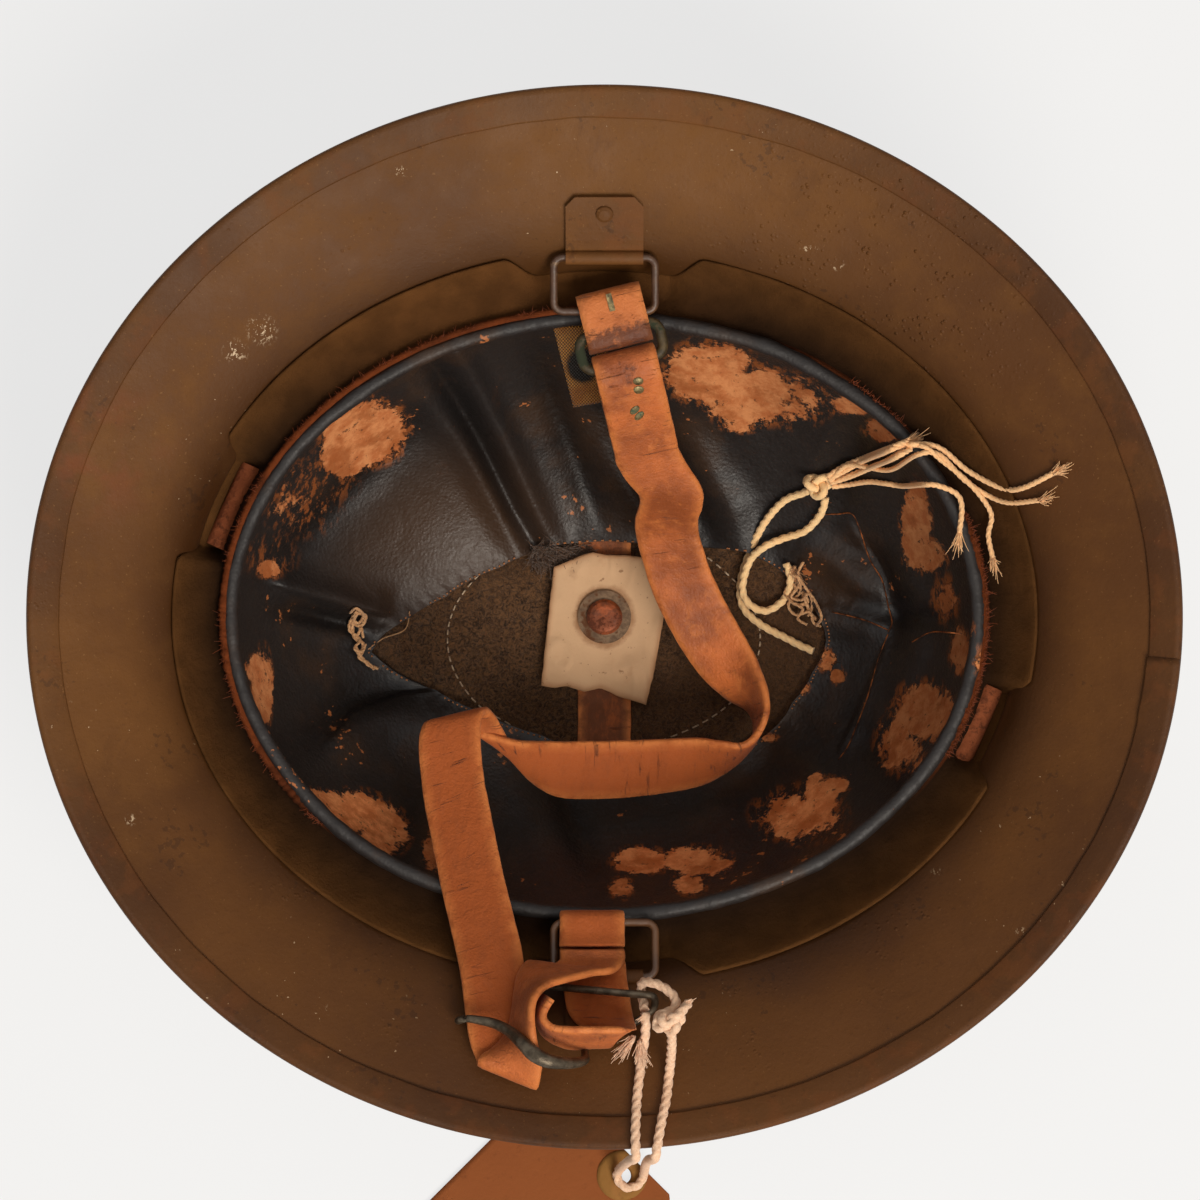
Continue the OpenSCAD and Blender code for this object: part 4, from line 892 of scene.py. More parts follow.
def cap():
    """The folded leather cap: from its bead at v = 0 to its gathered opening at v = 1."""
    rows, around, gathers, over_bowl = 112, 620, 61, 6.5
    verts, worn, valley, uvs, tone = [], [], [], [], []
    for i in range(rows + 1):
        v = min(i / rows, 0.9999)
        m = max(math.cos(math.pi / 2 * v), 0) ** (2 / CAP_POWER)
        fall = math.sin(math.pi / 2 * v) ** (2 / CAP_POWER)
        body = smooth(0.0, 0.12, v)
        for j in range(around):
            phi = 2 * math.pi * j / around
            ox, oy = opening(phi)
            x = ox * (1 - m) + BEAD_X * math.cos(phi) * m
            y = oy * (1 - m) + BEAD_Y * math.sin(phi) * m
            z = CAP_TOP - (CAP_TOP - bowl_z(ox, oy) - over_bowl) * fall
            up, deep = relief(x, y)
            ridge = 1 - abs(noise.noise(Vector((x / 15, y / 15, 1.3)))) * 2
            up += body * (0.6 * noise.noise(Vector((x / 34, y / 34, 0.2))) + 0.16 * max(ridge, 0) ** 3)
            up += body * 0.07 * noise.noise(Vector((x / 6, y / 6, 4.1)))
            pucker = math.sin(phi * gathers + 2 * noise.noise(Vector((x / 9, y / 9, 9))))
            up += smooth(0.85, 1.0, v) * 0.12 * pucker
            up = max(up * body, -(z - bowl_z(x, y)) * 0.6)
            verts.append(np.array([x, y, z]) + np.array([-0.35 * x / 90 * up, -0.35 * y / 70 * up, up]))
            a, b = CENTRE_X + x / pixel(z), CENTRE_Y - y / pixel(z)
            worn.append(worn_at(a, b, WORN, 1.12, 0.62))
            # tone: painted light and shade of the bare leather.
            tone.append(tone_at(a, b))
            # valley: painted shade in the folds' valleys.
            valley.append(deep)
            uvs.append((phi * 0.08, v * 0.08))
    o = make("liner_leather", verts, grid(rows + 1, around), "helmet", cap_mat,
             {"worn": worn, "valley": valley, "tone": tone}, uvs)
    thicken(o, 0.0011)
    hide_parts("liner_cap")
    return o


def tree_of(o):
    return BVHTree.FromPolygons([tuple(v.co) for v in o.data.vertices],
                                [tuple(p.vertices) for p in o.data.polygons])


def drop(tree, x, y):
    """Height in millimetres at which a ray from above meets the tree at x, y, or None."""
    hit = tree.ray_cast(Vector((x * MM, y * MM, 0.2)), Vector((0, 0, -1)))[0]
    return None if hit is None else hit.z / MM


# What cords and cards lie on: the cap first, then the felt
ground = [tree_of(cap())]


def under(x, y):
    """Height of what lies under x, y: the cap, the felt, the bead, or the shell."""
    e = (x / BEAD_X) ** 2 + (y / BEAD_Y) ** 2
    z = max([bowl_z(x, y)] + [h for h in [drop(tree, x, y) for tree in ground] if h is not None])
    if 0.86 < e < 1.14:
        return max(z, BEAD_Z + BEAD_R - 0.6 * abs(e - 1) * 10)
    if e >= 1.14:
        return max(bowl_z(x, y), BEAD_Z + BEAD_R - 0.5)
    return z


def on_ground(a, b, z):
    """A pixel of the photograph as a place on what lies there, from a first guess of its height."""
    for _ in range(4):
        x, y = px(a, b, z)
        z = under(x, y)
    return x, y, z


def bead():
    """The wrinkled roll round the cap's edge."""
    around, sides = 420, 14
    verts, worn = [], []
    for j in range(around):
        phi = 2 * math.pi * j / around
        c, d = math.cos(phi), math.sin(phi)
        for m in range(sides):
            a = 2 * math.pi * m / sides
            r = BEAD_R * (0.86 + 0.12 * noise.noise(Vector((22 * c, 22 * d, 0.7))))
            swing = 0.9 * noise.noise(Vector((3 * c, 3 * d, 2.7)))
            x = (BEAD_X + swing + r * math.cos(a)) * c
            y = (BEAD_Y + swing + r * math.cos(a)) * d
            z = BEAD_Z + r * math.sin(a)
            verts.append(np.array([x, y, z + wobble((x, y, z), 2.2, 0.3)]))
            worn.append(worn_at(CENTRE_X + x / BEAD_PIXEL, CENTRE_Y - y / BEAD_PIXEL, BEAD_WORN, 1.1, 0.6))
    o = make("liner_roll", verts, grid(around, sides, close_rows=True, flip=True), "helmet", roll_mat,
             {"worn": worn, "valley": [0] * len(verts), "tone": [1.0] * len(verts)})
    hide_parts("liner_bead")


def fringe_seen(deg):
    """How much of the band's torn edge stands out from behind the bead, by its angle round the bowl."""
    deg = deg % 360
    left = smooth(84, 96, deg) * smooth(228, 208, deg)
    right = 0.75 * max(smooth(322, 344, deg), smooth(28, 14, deg))
    right += 0.35 * smooth(30, 44, deg) * smooth(66, 56, deg)
    return float(max(left, min(right, 1)))


def window(deg):
    """1 where the band is open and shows a rubber tube, at the left and at the right."""
    left = smooth(150, 153, deg) * smooth(171, 168, deg)
    right = smooth(332, 335, deg) * smooth(350, 347, deg)
    return max(float(left), float(right))


def band():
    """Suede band behind the bead: a ragged fringe, and a dark lip of painted shade that leans out to the
    shell.
    """
    around = 900
    edge_x = BEAD_X + BEAD_R
    verts, dark = [], []
    for j in range(around):
        phi = 2 * math.pi * j / around
        c, d, deg = math.cos(phi), math.sin(phi), math.degrees(phi)
        torn = abs(noise.noise(Vector((70 * c, 70 * d, 0.3)))) * 1.1
        torn += max(0, noise.noise(Vector((190 * c, 190 * d, 8.3)))) * 1.6
        show = 0.35 + 0.65 * smooth(-0.2, 0.35, noise.noise(Vector((2.3 * c, 2.3 * d, 5.2))))
        seen = fringe_seen(deg)
        tuck = 1 - seen
        row = [(BEAD_X + 1.5, CAP_TOP - 24), (BEAD_X + 1.6, CAP_TOP - 2),
               (edge_x - 0.4 - 0.6 * tuck, BEAD_Z + 1.2 + 0.4 * torn * show - 2.0 * tuck),
               (edge_x - 0.1 + 0.3 * torn * show * seen - 0.6 * tuck,
                BEAD_Z + 1.0 + 0.7 * torn * show - 2.2 * tuck),
               (edge_x + 0.05 + 0.6 * torn * show * seen - 0.3 * tuck, BEAD_Z + 0.4 - 1.8 * tuck),
               (edge_x + 0.6 + 0.4 * torn * seen, BEAD_Z - 1.4 - 0.6 * tuck)]
        verts += [np.array([r * c, (r - BEAD_X + BEAD_Y) * d, z]) for r, z in row]
        last = verts[-1]
        open_ = window(deg)
        near_loops = float(smooth(24, 16, abs(edge_x * c)))
        wall = inner(1.02 + 0.24 * (1 - open_) * (1 - near_loops), phi)
        for t in (0.25, 0.5, 0.75, 0.9, 1.0, 1.04):
            q = last + (wall - last) * t
            sink = 2.4 * math.sin(math.pi * min(t, 1)) - 0.6 * t
            sink += 6.5 * open_ * min(t * 4, 1) * (1.0 if t < 0.8 else 0.6)
            verts.append(np.array([q[0], q[1], q[2] - sink + 0.3 * noise.noise(Vector((9 * c, 9 * d, t)))]))
        # dark and far carry painted shade: the lip, and the band where it is tucked behind the bead.
        dark += [max(painted_shade, 1 - seen) for painted_shade in (1, 0, 0, 0.1, 0.6, 1, 1, 1, 1, 1, 1, 1)]
    far = [0, 0, 0, 0, 0, 0, 0.15, 0.4, 0.7, 0.9, 1, 1]
    faces = grid(around, len(far), close_rows=True, close_cols=False, flip=True)
    o = make("liner_suede", verts, faces, "helmet", suede_and_shade_mat(), {"dark": dark, "far": far * around})
    thicken(o, 0.0008)
    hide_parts("liner_band")


def fringe():
    """Loose fibres along the band's torn edge."""
    rng = np.random.default_rng(4)
    parts = []
    for _ in range(3200):
        phi = rng.uniform(0, 2 * math.pi)
        c, d = math.cos(phi), math.sin(phi)
        seen = fringe_seen(math.degrees(phi))
        if noise.noise(Vector((5 * c, 5 * d, 1.2))) + 0.45 * seen < 0.12 or seen < 0.2:
            continue
        r = BEAD_R + rng.uniform(-0.3, 0.5)
        at = np.array([(BEAD_X + r) * c, (BEAD_Y + r) * d, BEAD_Z + rng.uniform(0.6, 1.8)])
        way = np.array([c, d, 0]) * rng.uniform(0.1, 1.0) + rng.normal(size=3) * 0.5
        way[2] = abs(way[2]) * 0.7
        long = rng.uniform(0.4, 1.3)
        bend = rng.normal(size=3) * 0.5
        pts = [at + way * long * t + bend * long * t * t for t in np.linspace(0, 1, 4)]
        parts.append(tube(np.array(pts), 0.11, 3, taper=0.6))
    m = Mat("fringe_fibre", rough=0.9, spec=0.1, sheen=0.05)
    m.color(m.mix(m.noise(300, 4), lin(150, 74, 38), lin(104, 48, 24)))
    make("suede_fringe", *joined(parts), "helmet", m.m)


def felt():
    """The felt pad of the crown, waved, flat under the washer, with a groove under the tan strip."""
    rings, around = 60, 260
    verts = []
    for i in range(rings):
        f = 0.045 + 0.955 * i / (rings - 1)
        for j in range(around):
            a = 2 * math.pi * j / around
            x, y = 73 * f * math.cos(a), 50 * f * math.sin(a)
            z = max(7.7, bowl_z(x, y) + 3.1 * smooth(1.0, 0.96, f))
            waves = wobble((x, y, 0), 18, 0.5) + wobble((x, y, 3), 1.8, 0.22)
            z += smooth(14, 22, math.hypot(x, y)) * waves
            z -= 0.8 * math.exp(-(x / 9) ** 4)
            verts.append(np.array([x, y, z]))
    o = make("crown_felt", verts, grid(rings, around, flip=True), "helmet", felt_mat())
    thicken(o, 0.0018)
    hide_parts("felt_pad")
    ground.append(tree_of(o))


def running_stitch():
    """The white stitches of the felt pad."""
    count, rise = 78, 0.3
    parts = []
    for k in range(count):
        pts = []
        for q in range(5):
            a = 2 * math.pi * k / count + 2 * math.pi / count * 0.55 * q / 4
            x = -0.2 + 44 * math.cos(a)
            y = -6.3 + 30.5 * math.sin(a) + wobble((math.cos(a) * 40, math.sin(a) * 40, 0), 12, 0.9)
            z = drop(ground[-1], x, y) + 0.1 + rise * math.sin(math.pi * q / 4)
            pts.append(np.array([x, y, z]))
        parts.append(tube(np.array(pts), 0.24, 6))
    make("felt_stitch", *joined(parts), "helmet", stitch_mat)


shell()
rim()
bead()
band()
fringe()
felt()
running_stitch()


# Cords: routes are the CAD's, place then height over what they lie on
def laid(route, step=1.0):
    return catmull([(x, y, under(x, y) + h) for x, y, h in route], step)


def cord_piece(name, path, d, mat, node=None, body="helmet", plies=3, pitch=2.9,
               sides=18):
    """A twisted cord."""
    s = lengths(path)
    n = int(max(60, s[-1] / (pitch * d / 11.0)))
    u = np.linspace(0, s[-1], n)
    fine = np.stack([np.interp(u, s, path[:, c]) for c in range(3)], axis=1)
    v, f = tube(fine, d / 2, sides, 2 * math.pi / (pitch * d * 1.2), plies, 0.34)
    o = make(name, v, f, body, mat)
    if node:
        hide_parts(node)
    return o


DRAW = [[58.5, -9.5, 1.6], [54.6, -7.8, 1.5], [51.6, -6.2, 1.5], [43.8, -2, 1.4], [39, 2.8, 1.4],
        [38.2, 9.2, 1.5], [40.4, 17.1, 1.6], [44.5, 26, 1.9], [49.9, 32.3, 2.2], [55, 34.4, 2.4],
        [57, 35.3, 3.4]]
STRAND = [[61.2, 33, 3.2], [60.8, 30.5, 2.4], [59.5, 27.7, 2.1], [55.7, 23.9, 1.9], [50, 22, 2.1],
          [44.5, 19.5, 3.2], [40.7, 15.7, 3.9], [38.7, 8.1, 3.9], [40.7, 3.6, 3.9], [45.1, 1.7, 2.8],
          [49, 3.6, 1.9], [51.5, 6.7, 1.7], [52, 11.2, 1.7], [50.9, 15.1, 1.9]]
KNOT = [59.8, 36.5, 4.6]
# Frayed tails: route, length in metres, and the brush at the end: its fibres and their length
TAILS = [
    ([[62.8, 38.6, 4], [66, 40.6, 2.4], [70.1, 42.5, 1.9], [75, 44.3, 4.8], [80.8, 46.2, 1.9],
      [89.7, 45.7, 1.4], [97.8, 39.3, 1.4], [106.6, 34.6, 1.6], [111.8, 34.5, 1.4], [119.4, 38.3, 1.2]],
     0.099, 34, 5),
    ([[63, 36, 3.6], [67.5, 36.6, 2.2], [72.8, 37.2, 1.9], [77, 36.6, 1.9], [81.7, 35.8, 2], [86, 35.6, 2],
      [90, 35.2, 1.8], [94.8, 33, 1.4], [96.1, 29.3, 1.4], [95.4, 22.6, 1.4]], 0.076, 34, 5),
    ([[61.6, 38.8, 4.2], [66, 41.6, 2.8], [71.5, 43.8, 2.4], [77, 45.6, 3.4], [81.2, 47.2, 2.2]],
     0.056, 90, 7)]
# Short plies of the bundle, under 30 mm each
SHORT_PLIES = [
    [[62, 38, 4.4], [66.5, 40.4, 3.4], [71, 42.8, 3.2], [76, 44.6, 3.4], [80.6, 46.4, 2.6]],
    [[62.4, 37, 3.8], [67, 38.8, 3], [72.4, 40.8, 3], [77.6, 42.6, 3.2], [82.4, 45.2, 2.4]]]
# Two more plies beside the tails: route and length in metres
PLIES = [
    ([[62.4, 37.6, 4.2], [66.4, 41.6, 3.8], [71, 41.4, 3.2], [78, 40.2, 3.2], [84, 43.6, 2.6],
      [90, 43.6, 2.4], [96.6, 37, 2.2], [103.6, 32.4, 2.2], [109, 30.6, 1.6], [115.9, 31.2, 1.4]], 0.095),
    ([[62.6, 37, 4], [68.6, 39, 3.2], [76, 42.2, 2.6], [84, 46.2, 2.4], [91, 41.8, 2.2],
      [98.6, 35.4, 2.2], [103.9, 28, 1.8], [103.2, 22, 2.2], [104.4, 15.9, 2.4]], 0.093)]


def knot_mesh(name, c, size, d, mat, body, node=None):
    """A tied knot: a trefoil of cord, pulled tight."""
    pts = []
    for k in range(90):
        t = 2 * math.pi * k / 90
        x = (math.sin(t) + 2 * math.sin(2 * t)) / 3
        y = (math.cos(t) - 2 * math.cos(2 * t)) / 3
        z = -math.sin(3 * t) * 0.55
        pts.append(np.array([c[0] + size * x * 1.15, c[1] + size * y, c[2] + size * 0.85 * z]))
    v, f = tube(np.array(pts), d / 2, 10, 2 * math.pi / (3 * d), 3, 0.18, closed=True)
    o = make(name, v, f, body, mat)
    if node:
        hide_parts(node)
    return o


def fray(name, at, direction, n, length, spread, r, mat, body, seed):
    """A brush of loose fibres."""
    rng = np.random.default_rng(seed)
    d = np.array(direction, dtype=float)
    d /= np.linalg.norm(d)
    parts = []
    for _ in range(n):
        q = rng.normal(size=3) * spread
        long = length * rng.uniform(0.5, 1.1)
        start = np.array(at) + rng.normal(size=3) * r * 2.2
        bend = rng.normal(size=3) * spread * 0.7
        pts = [start + d * long * t + q * long * t + bend * long * t * t for t in np.linspace(0, 1, 6)]
        parts.append(tube(np.array(pts), r, 4, taper=0.6))
    return make(name, *joined(parts), body, mat)


def drawcords():
    """The drawcord, its second strand, their knot, and the frayed tails."""
    a = cord_piece("drawcord_main", laid(DRAW), 2.3, cord_mat, "drawcord")
    b = cord_piece("drawcord_loop", laid(STRAND), 2.3, cord_mat, "drawcord_strand")
    at = (KNOT[0] - 0.6, KNOT[1], under(KNOT[0], KNOT[1]) + 3.6)
    k = knot_mesh("drawcord_tie", at, 3.1, 2.3, cord_mat, "helmet", "drawcord_knot")
    for i, (route, length, fibres, long) in enumerate(TAILS):
        q = laid(route)
        o = cord_piece(f"drawcord_tail_{i + 1}", q, 1.6, tail_mat)
        if i == 0:
            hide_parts("drawcord_tails")
        t = fray(f"tail_brush_{i + 1}", q[-1], q[-1] - q[-4], fibres, long, 0.2, 0.15, tail_mat, "helmet",
                 5 + i)
    for i, route in enumerate(SHORT_PLIES):
        cord_piece(f"bundle_ply_{i + 1}", laid(route), 1.6, tail_mat)
    for i, (route, length) in enumerate(PLIES):
        q = laid(route)
        cord_piece(f"drawcord_ply_{i + 1}", q, 1.5, tail_mat)
        t = fray(f"ply_brush_{i + 1}", q[-1], q[-1] - q[-4], 30, 4.5, 0.22, 0.15, tail_mat, "helmet", 15 + i)


# Ends of the crown net
NET_LEFT = [
    [-69, 1.6, 1.0], [-70.6, -1.2, 1.2], [-68, -2.4, 1.8], [-66.6, 0.2, 1.6], [-68.8, 1.0, 2.2],
    [-70.4, -2.4, 2.0], [-69.6, -6, 1.4], [-67.4, -7.4, 1.8], [-68.2, -10.6, 1.2], [-69.6, -8.2, 1.9],
    [-67.6, -11.6, 1.4], [-65.6, -13.6, 1.2], [-63.4, -14.4, 1.0]]
NET_RIGHT = [
    [51.4, 13.6, 1.6], [53, 12, 2.6], [55.2, 10, 1.8], [53.4, 7.4, 3.2], [52, 5, 2], [54.4, 3.4, 3.2],
    [57, 4.4, 2.4], [55.4, 7.2, 3.8], [57.6, 1.4, 2], [59.6, -0.8, 1.4]]
NET_STRANDS = [
    [[50.8, 12.4, 1.6], [54, 11, 3.4], [54.8, 6.8, 3], [51.6, 3.6, 2.4], [53.6, 0.6, 2.4], [57.4, 1.4, 3.4],
     [58.6, -1.6, 1.6], [60.8, -2.6, 1.2]],
    [[55.6, 15.4, 2.2], [54.2, 12, 3], [56.4, 8, 2.8], [59, 4.2, 2], [60.6, 0, 1.6], [59.4, -2.4, 1.4]],
    [[52.2, 9.6, 3], [50.6, 6.8, 2.2], [52.6, 4.2, 4], [55.6, 2.2, 3.4], [54.2, -0.4, 2.4],
     [56.8, -2.2, 1.8]],
    [[53.4, 14.2, 2.0], [51.8, 10.8, 3.2], [53.6, 8.2, 3.8], [52.4, 5.6, 3.4], [55.2, 4.8, 4],
     [57.2, 6.6, 3], [58.2, 3, 2.6], [57, 0.2, 2.6]],
    [[-70.8, 1.2, 1.4], [-69, 2.4, 2.2], [-67.2, 0.6, 2.6], [-68.6, -1.6, 2.4], [-70.8, -1, 2.2],
     [-71.2, -3.8, 1.6], [-69, -5, 2.4], [-68, -3, 2.6], [-67.4, -5.8, 2]],
    [[-70.4, -4.6, 1.8], [-68.2, -6.4, 2.6], [-69.8, -8.8, 2.2], [-67.6, -9.6, 2.6], [-66.8, -7.6, 2.2],
     [-68.6, -11.2, 1.6], [-66.2, -12.6, 1.8], [-64.4, -14.6, 1.4]]]
NET_THREAD = [[-66, -9, 1.4], [-62, -6, 1.2], [-56, -3.5, 1], [-54.6, 1.6, 0.8]]


def net_cord(name, route, d, node=None):
    o = cord_piece(name, laid(route, 0.6), d, net_mat, node, plies=2, sides=12)


def knotted_ends():
    """Short looped ends of the crown net, left and right."""
    net_cord("net_end_left", NET_LEFT, 1.15, "net_ends")
    net_cord("net_end_right", NET_RIGHT, 1.15, None)
    for i, route in enumerate(NET_STRANDS):
        net_cord(f"net_strand_{i + 1}", route, 0.9)
    h = make("net_end_thread", *tube(laid(NET_THREAD, 0.8), 0.16, 6), "helmet", net_mat)
    at = laid([[53, 14, 1.5], [53, 15, 1.5]])[0]
    t = fray("net_brush", at, (0.2, -0.6, 0.2), 16, 5, 0.5, 0.12, net_mat, "helmet", 33)


drawcords()
knotted_ends()


# Straps
def ribbon(name, points, w, t, mat, body, step, stains, flesh_side=-1):
    """A flat strap. A point is a place and the direction of the width; a stain a place, reach and depth."""
    p = catmull(points, step)
    c = p[:, :3]
    n = len(p)
    wide = p[:, 3:6] / np.linalg.norm(p[:, 3:6], axis=1)[:, None]
    up = np.cross(tangents(c), wide)
    up /= np.linalg.norm(up, axis=1)[:, None]
    s = lengths(c)
    across, worn_edge, round_off = 10, 0.12, 0.28
    ring = [(-1 + 2 * k / across, 1.0) for k in range(across + 1)] + [(1.0, 0.0)] + \
           [(1 - 2 * k / across, -1.0) for k in range(across + 1)] + [(-1.0, 0.0)]
    verts, edge, flesh, stain, uvs = [], [], [], [], []
    for i in range(n):
        ragged = [wobble((s[i], side * 30, 0), 3.2, worn_edge, 2.2) for side in (-1, 1)]
        for u, q in ring:
            corner = abs(u) > 0.99 and q != 0
            x = u * (w / 2 + (ragged[0] if u < 0 else ragged[1]))
            x -= math.copysign(round_off, u) * corner
            pos = c[i] + wide[i] * x + up[i] * (q * t / 2 * (0.8 if corner else 1))
            pos = pos + up[i] * wobble(pos, 7, 0.14, 1.1)
            verts.append(pos)
            edge.append(1.0 if abs(u) > 0.99 else (0.35 if abs(u) > 0.79 else 0.0))
            flesh.append(1.0 if q * flesh_side > 0 else 0.0)
            far = [(math.dist(pos, (sx, sy, sz)) / reach / 1.6, depth) for sx, sy, sz, reach, depth in stains]
            stain.append(max(0.0, *[depth * (1 - d) for d, depth in far]))
            uvs.append((u * w / 2 * MM, s[i] * MM))
    faces = grid(n, len(ring)) + ends(n, len(ring))
    return make(name, verts, faces, body, mat, {"edge": edge, "flesh": flesh, "stain": stain}, uvs)


# Where the strap hangs: the lower loop's bar, and the oval link with its turn in the view from above
BAR_Y, BAR_Z = 81.977, 83.7
LINK_X, LINK_Y, LINK_Z, TURN = 4.5, 72.677, 83.7, math.radians(14)
LINK_WIRE, BAR_WIRE = 1.4, 1.05
FOLD_R = LINK_WIRE + 0.4 + STRAP_THICK / 2
LINK_BAR = 6.1 - LINK_WIRE
LOOP_R = BAR_WIRE + 0.2 + STRAP_THICK / 2


def link_place(q):
    """A place in the link's own plane, and the strap's width there."""
    c, s = math.cos(TURN), math.sin(TURN)
    return [LINK_X - q[0] * s, LINK_Y + q[0] * c, LINK_Z + q[1], c, s, 0]


def fold_place(q, side):
    """A place in the lower loop's own plane, and the strap's width there."""
    return [-3.3, q[0] - BAR_Y, q[1] + BAR_Z, side, 0, 0]


def arc(cx, r, degrees):
    return [[cx + r * math.cos(math.radians(a)), r * math.sin(math.radians(a))] for a in degrees]


END = [[-23, -14.8], [-17.5, -9.6], [-12.6, -5.4], [-8.6, -3]] + \
      arc(-LINK_BAR, FOLD_R, range(-90, 91, 30)) + [[-8.6, 2.1], [-13, -1.4], [-19, -7.1], [-27, -14.6]]
LOOP_FOLD = [[-6.1, 4.6], [-3.4, 3.2]] + arc(0, LOOP_R, range(90, -91, -30)) + [[-3.4, -1.8], [-6.1, -0.7]]
MAIN = [link_place([-30.2, -17.6])] + [
    [14.6, 38.8, 61.9, 0.97, 0.2, 0], [18, 34.2, 57.6, 0.99, 0.1, 0], [18.2, 30.6, 53, 1, 0, 0.05],
    [17.1, 27, 47.9, 1, 0, 0.1], [17.3, 23, 43.6, 1, 0.05, 0.12], [18.5, 18.5, 40.5, 1, 0.1, 0.15],
    [21.5, 9.5, 35.5, 0.95, 0.25, 0.15], [26.5, -0.8, 32, 0.88, 0.4, 0.2],
    [32.5, -10.6, 30.5, 0.75, 0.45, 0.35], [38.5, -19, 30.5, 0.55, 0.35, 0.7],
    [42.8, -26, 32, 0.25, 0.05, 0.95], [42, -33, 33.2, 0, 0.05, 1], [37.5, -37.5, 34.6, 0, 0.25, 0.95],
    [31, -39.6, 35, 0.05, 0.6, 0.8], [23.8, -40.6, 34, 0.05, 0.8, 0.6],
    [9.9, -41.9, 32.8, 0, 0.9, 0.45], [-4, -42.4, 35, 0, 0.93, 0.38], [-14, -42, 39, -0.1, 0.9, 0.45],
    [-22, -39.8, 44, -0.2, 0.65, 0.73], [-29, -35.5, 50, -0.5, 0.45, 0.74],
    [-35, -30.5, 57, -0.8, 0, 0.6], [-39, -27.3, 62.8, -0.93, -0.2, 0.3],
    [-41.3, -28.3, 66.2, -0.96, -0.25, 0.05], [-42, -33.5, 68.2, -0.96, -0.28, 0],
    [-40.8, -46, 71.5, -0.92, -0.38, 0], [-38.2, -58.8, 76.5, -0.9, -0.4, 0],
    [-35.3, -72, 82.5, -0.9, -0.38, 0], [-32.2, -83.8, 88.3, -0.92, -0.34, 0],
    [-30, -93.5, 92.9, -0.95, -0.26, 0.12], [-28.6, -103.5, 96.9, -0.96, -0.16, 0.2],
    [-27.4, -111.4, 100.1, -0.98, 0.02, 0.1], [-26.6, -116.8, 101.8, -0.95, 0.22, 0.04],
    [-26, -119.6, 103, -0.92, 0.33, 0], [-25.6, -121.2, 104.9, -0.9, 0.37, -0.05],
    [-25.2, -119.6, 106.9, -0.91, 0.32, -0.15], [-24.3, -117.2, 108, -0.87, 0.2, -0.4],
    [-23.2, -114.8, 108.9, -0.7, 0.1, -0.7], [-22.1, -110.5, 108.9, -0.42, 0, -0.9],
    [-21.6, -105, 107.6, -0.3, 0, -0.95], [-20.9, -100, 105.2, -0.3, 0.05, -0.95],
    [-19, -96.2, 102, -0.42, 0.15, -0.88], [-15.2, -94.2, 98.2, -0.62, 0.2, -0.7],
    [-10.4, -93.6, 95.2, -0.87, 0.12, -0.4], [-6, -93.8, 94, -0.98, 0.03, -0.12],
    fold_place([-9.9, 6.85], -1), fold_place([-7.32, 5.22], -1)]
CURL = [fold_place([-7.32, -0.22], 1), fold_place([-9.5, 1.3], 1)] + [
    [-3.0, -93.3, 88.7, 1, 0, 0], [-2.6, -97, 91, 1, 0, 0], [-2.0, -101, 93.6, 1, 0, 0.05],
    [-1.4, -104.4, 96.2, 0.99, 0, 0.12], [-0.2, -107.2, 99.6, 0.94, 0, 0.35],
    [1.8, -109.2, 103.8, 0.72, 0.1, 0.68], [3.4, -110.4, 107.6, 0.35, 0.25, 0.9],
    [2, -110.9, 109.2, 0.08, 0.32, 0.94], [-4, -111, 109.4, 0, 0.34, 0.94],
    [-9.8, -111, 109.2, 0.02, 0.34, 0.94], [-14.6, -109.4, 108.6, 0.12, 0.2, 0.96],
    [-16.9, -106.2, 107.8, 0.12, 0.05, 0.98], [-16.8, -103.6, 107, 0.12, 0, 0.98],
    [-14.8, -100.4, 106.4, 0.12, 0, 0.98]]
# Dark stains: a place, its reach, and its depth
STAINS = [(6, 66, 84, 7, 0.9), (2, 68, 84, 5, 0.8), (8.5, 53, 74, 4, 0.7), (8, 60, 78, 5, 0.55),
          (-33, -84, 89, 8, 0.6), (-30, -92, 93, 7, 0.5), (-26, -118, 105, 9, 0.55),
          (-22, -104, 106, 5, 0.5), (-40, -32, 64, 5, 0.5), (-25, -100, 96, 5, 0.4)]
CURL_STAINS = [(-16, -104, 107, 7, 0.6), (4, -106, 106, 6, 0.5)]


def straps():
    """The chin strap in three pieces; returns the tree of the one that bends over the upper loop."""
    places = [link_place(q) for q in END] + MAIN
    main = ribbon("chin_strap", places, STRAP_WIDTH, STRAP_THICK, strap_mat, None, 0.9, STAINS)
    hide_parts("strap_end", "strap_main")
    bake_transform(main)
    curl = ribbon("chin_strap_curl", CURL, STRAP_WIDTH, STRAP_THICK, strap_mat, "helmet", 0.8, CURL_STAINS, 1)
    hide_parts("strap_curl")
    places = [fold_place(q, 1) for q in LOOP_FOLD]
    fold = ribbon("chin_strap_fold", places, STRAP_WIDTH, STRAP_THICK, strap_mat, "lower_hanger", 0.6,
                  [(-3, -84, 86, 7, 0.4)])
    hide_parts("strap_fold")
    return tree_of(main)


def crown_strip():
    """The tan strip over the felt, flat under the washer."""
    washer_reach, over_felt = 13, 0.8
    rows = []
    for q in (-44, -38, -32, -25.5, -14, -12, 12, 14, 25.5, 32):
        z = 9.0
        if abs(q) > washer_reach:
            heights = [drop(ground[-1], x, q) for x in (-6, 0, 6)]
            z = over_felt + max(h for h in heights if h is not None)
        rows.append([0, q, z, 1, 0, 0])
    strip = ribbon("crown_strap", rows, 15, 1.5, strip_mat, "helmet", 1.2, [(0, -24, 9, 6, 0.5)])
    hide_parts("crown_strip")


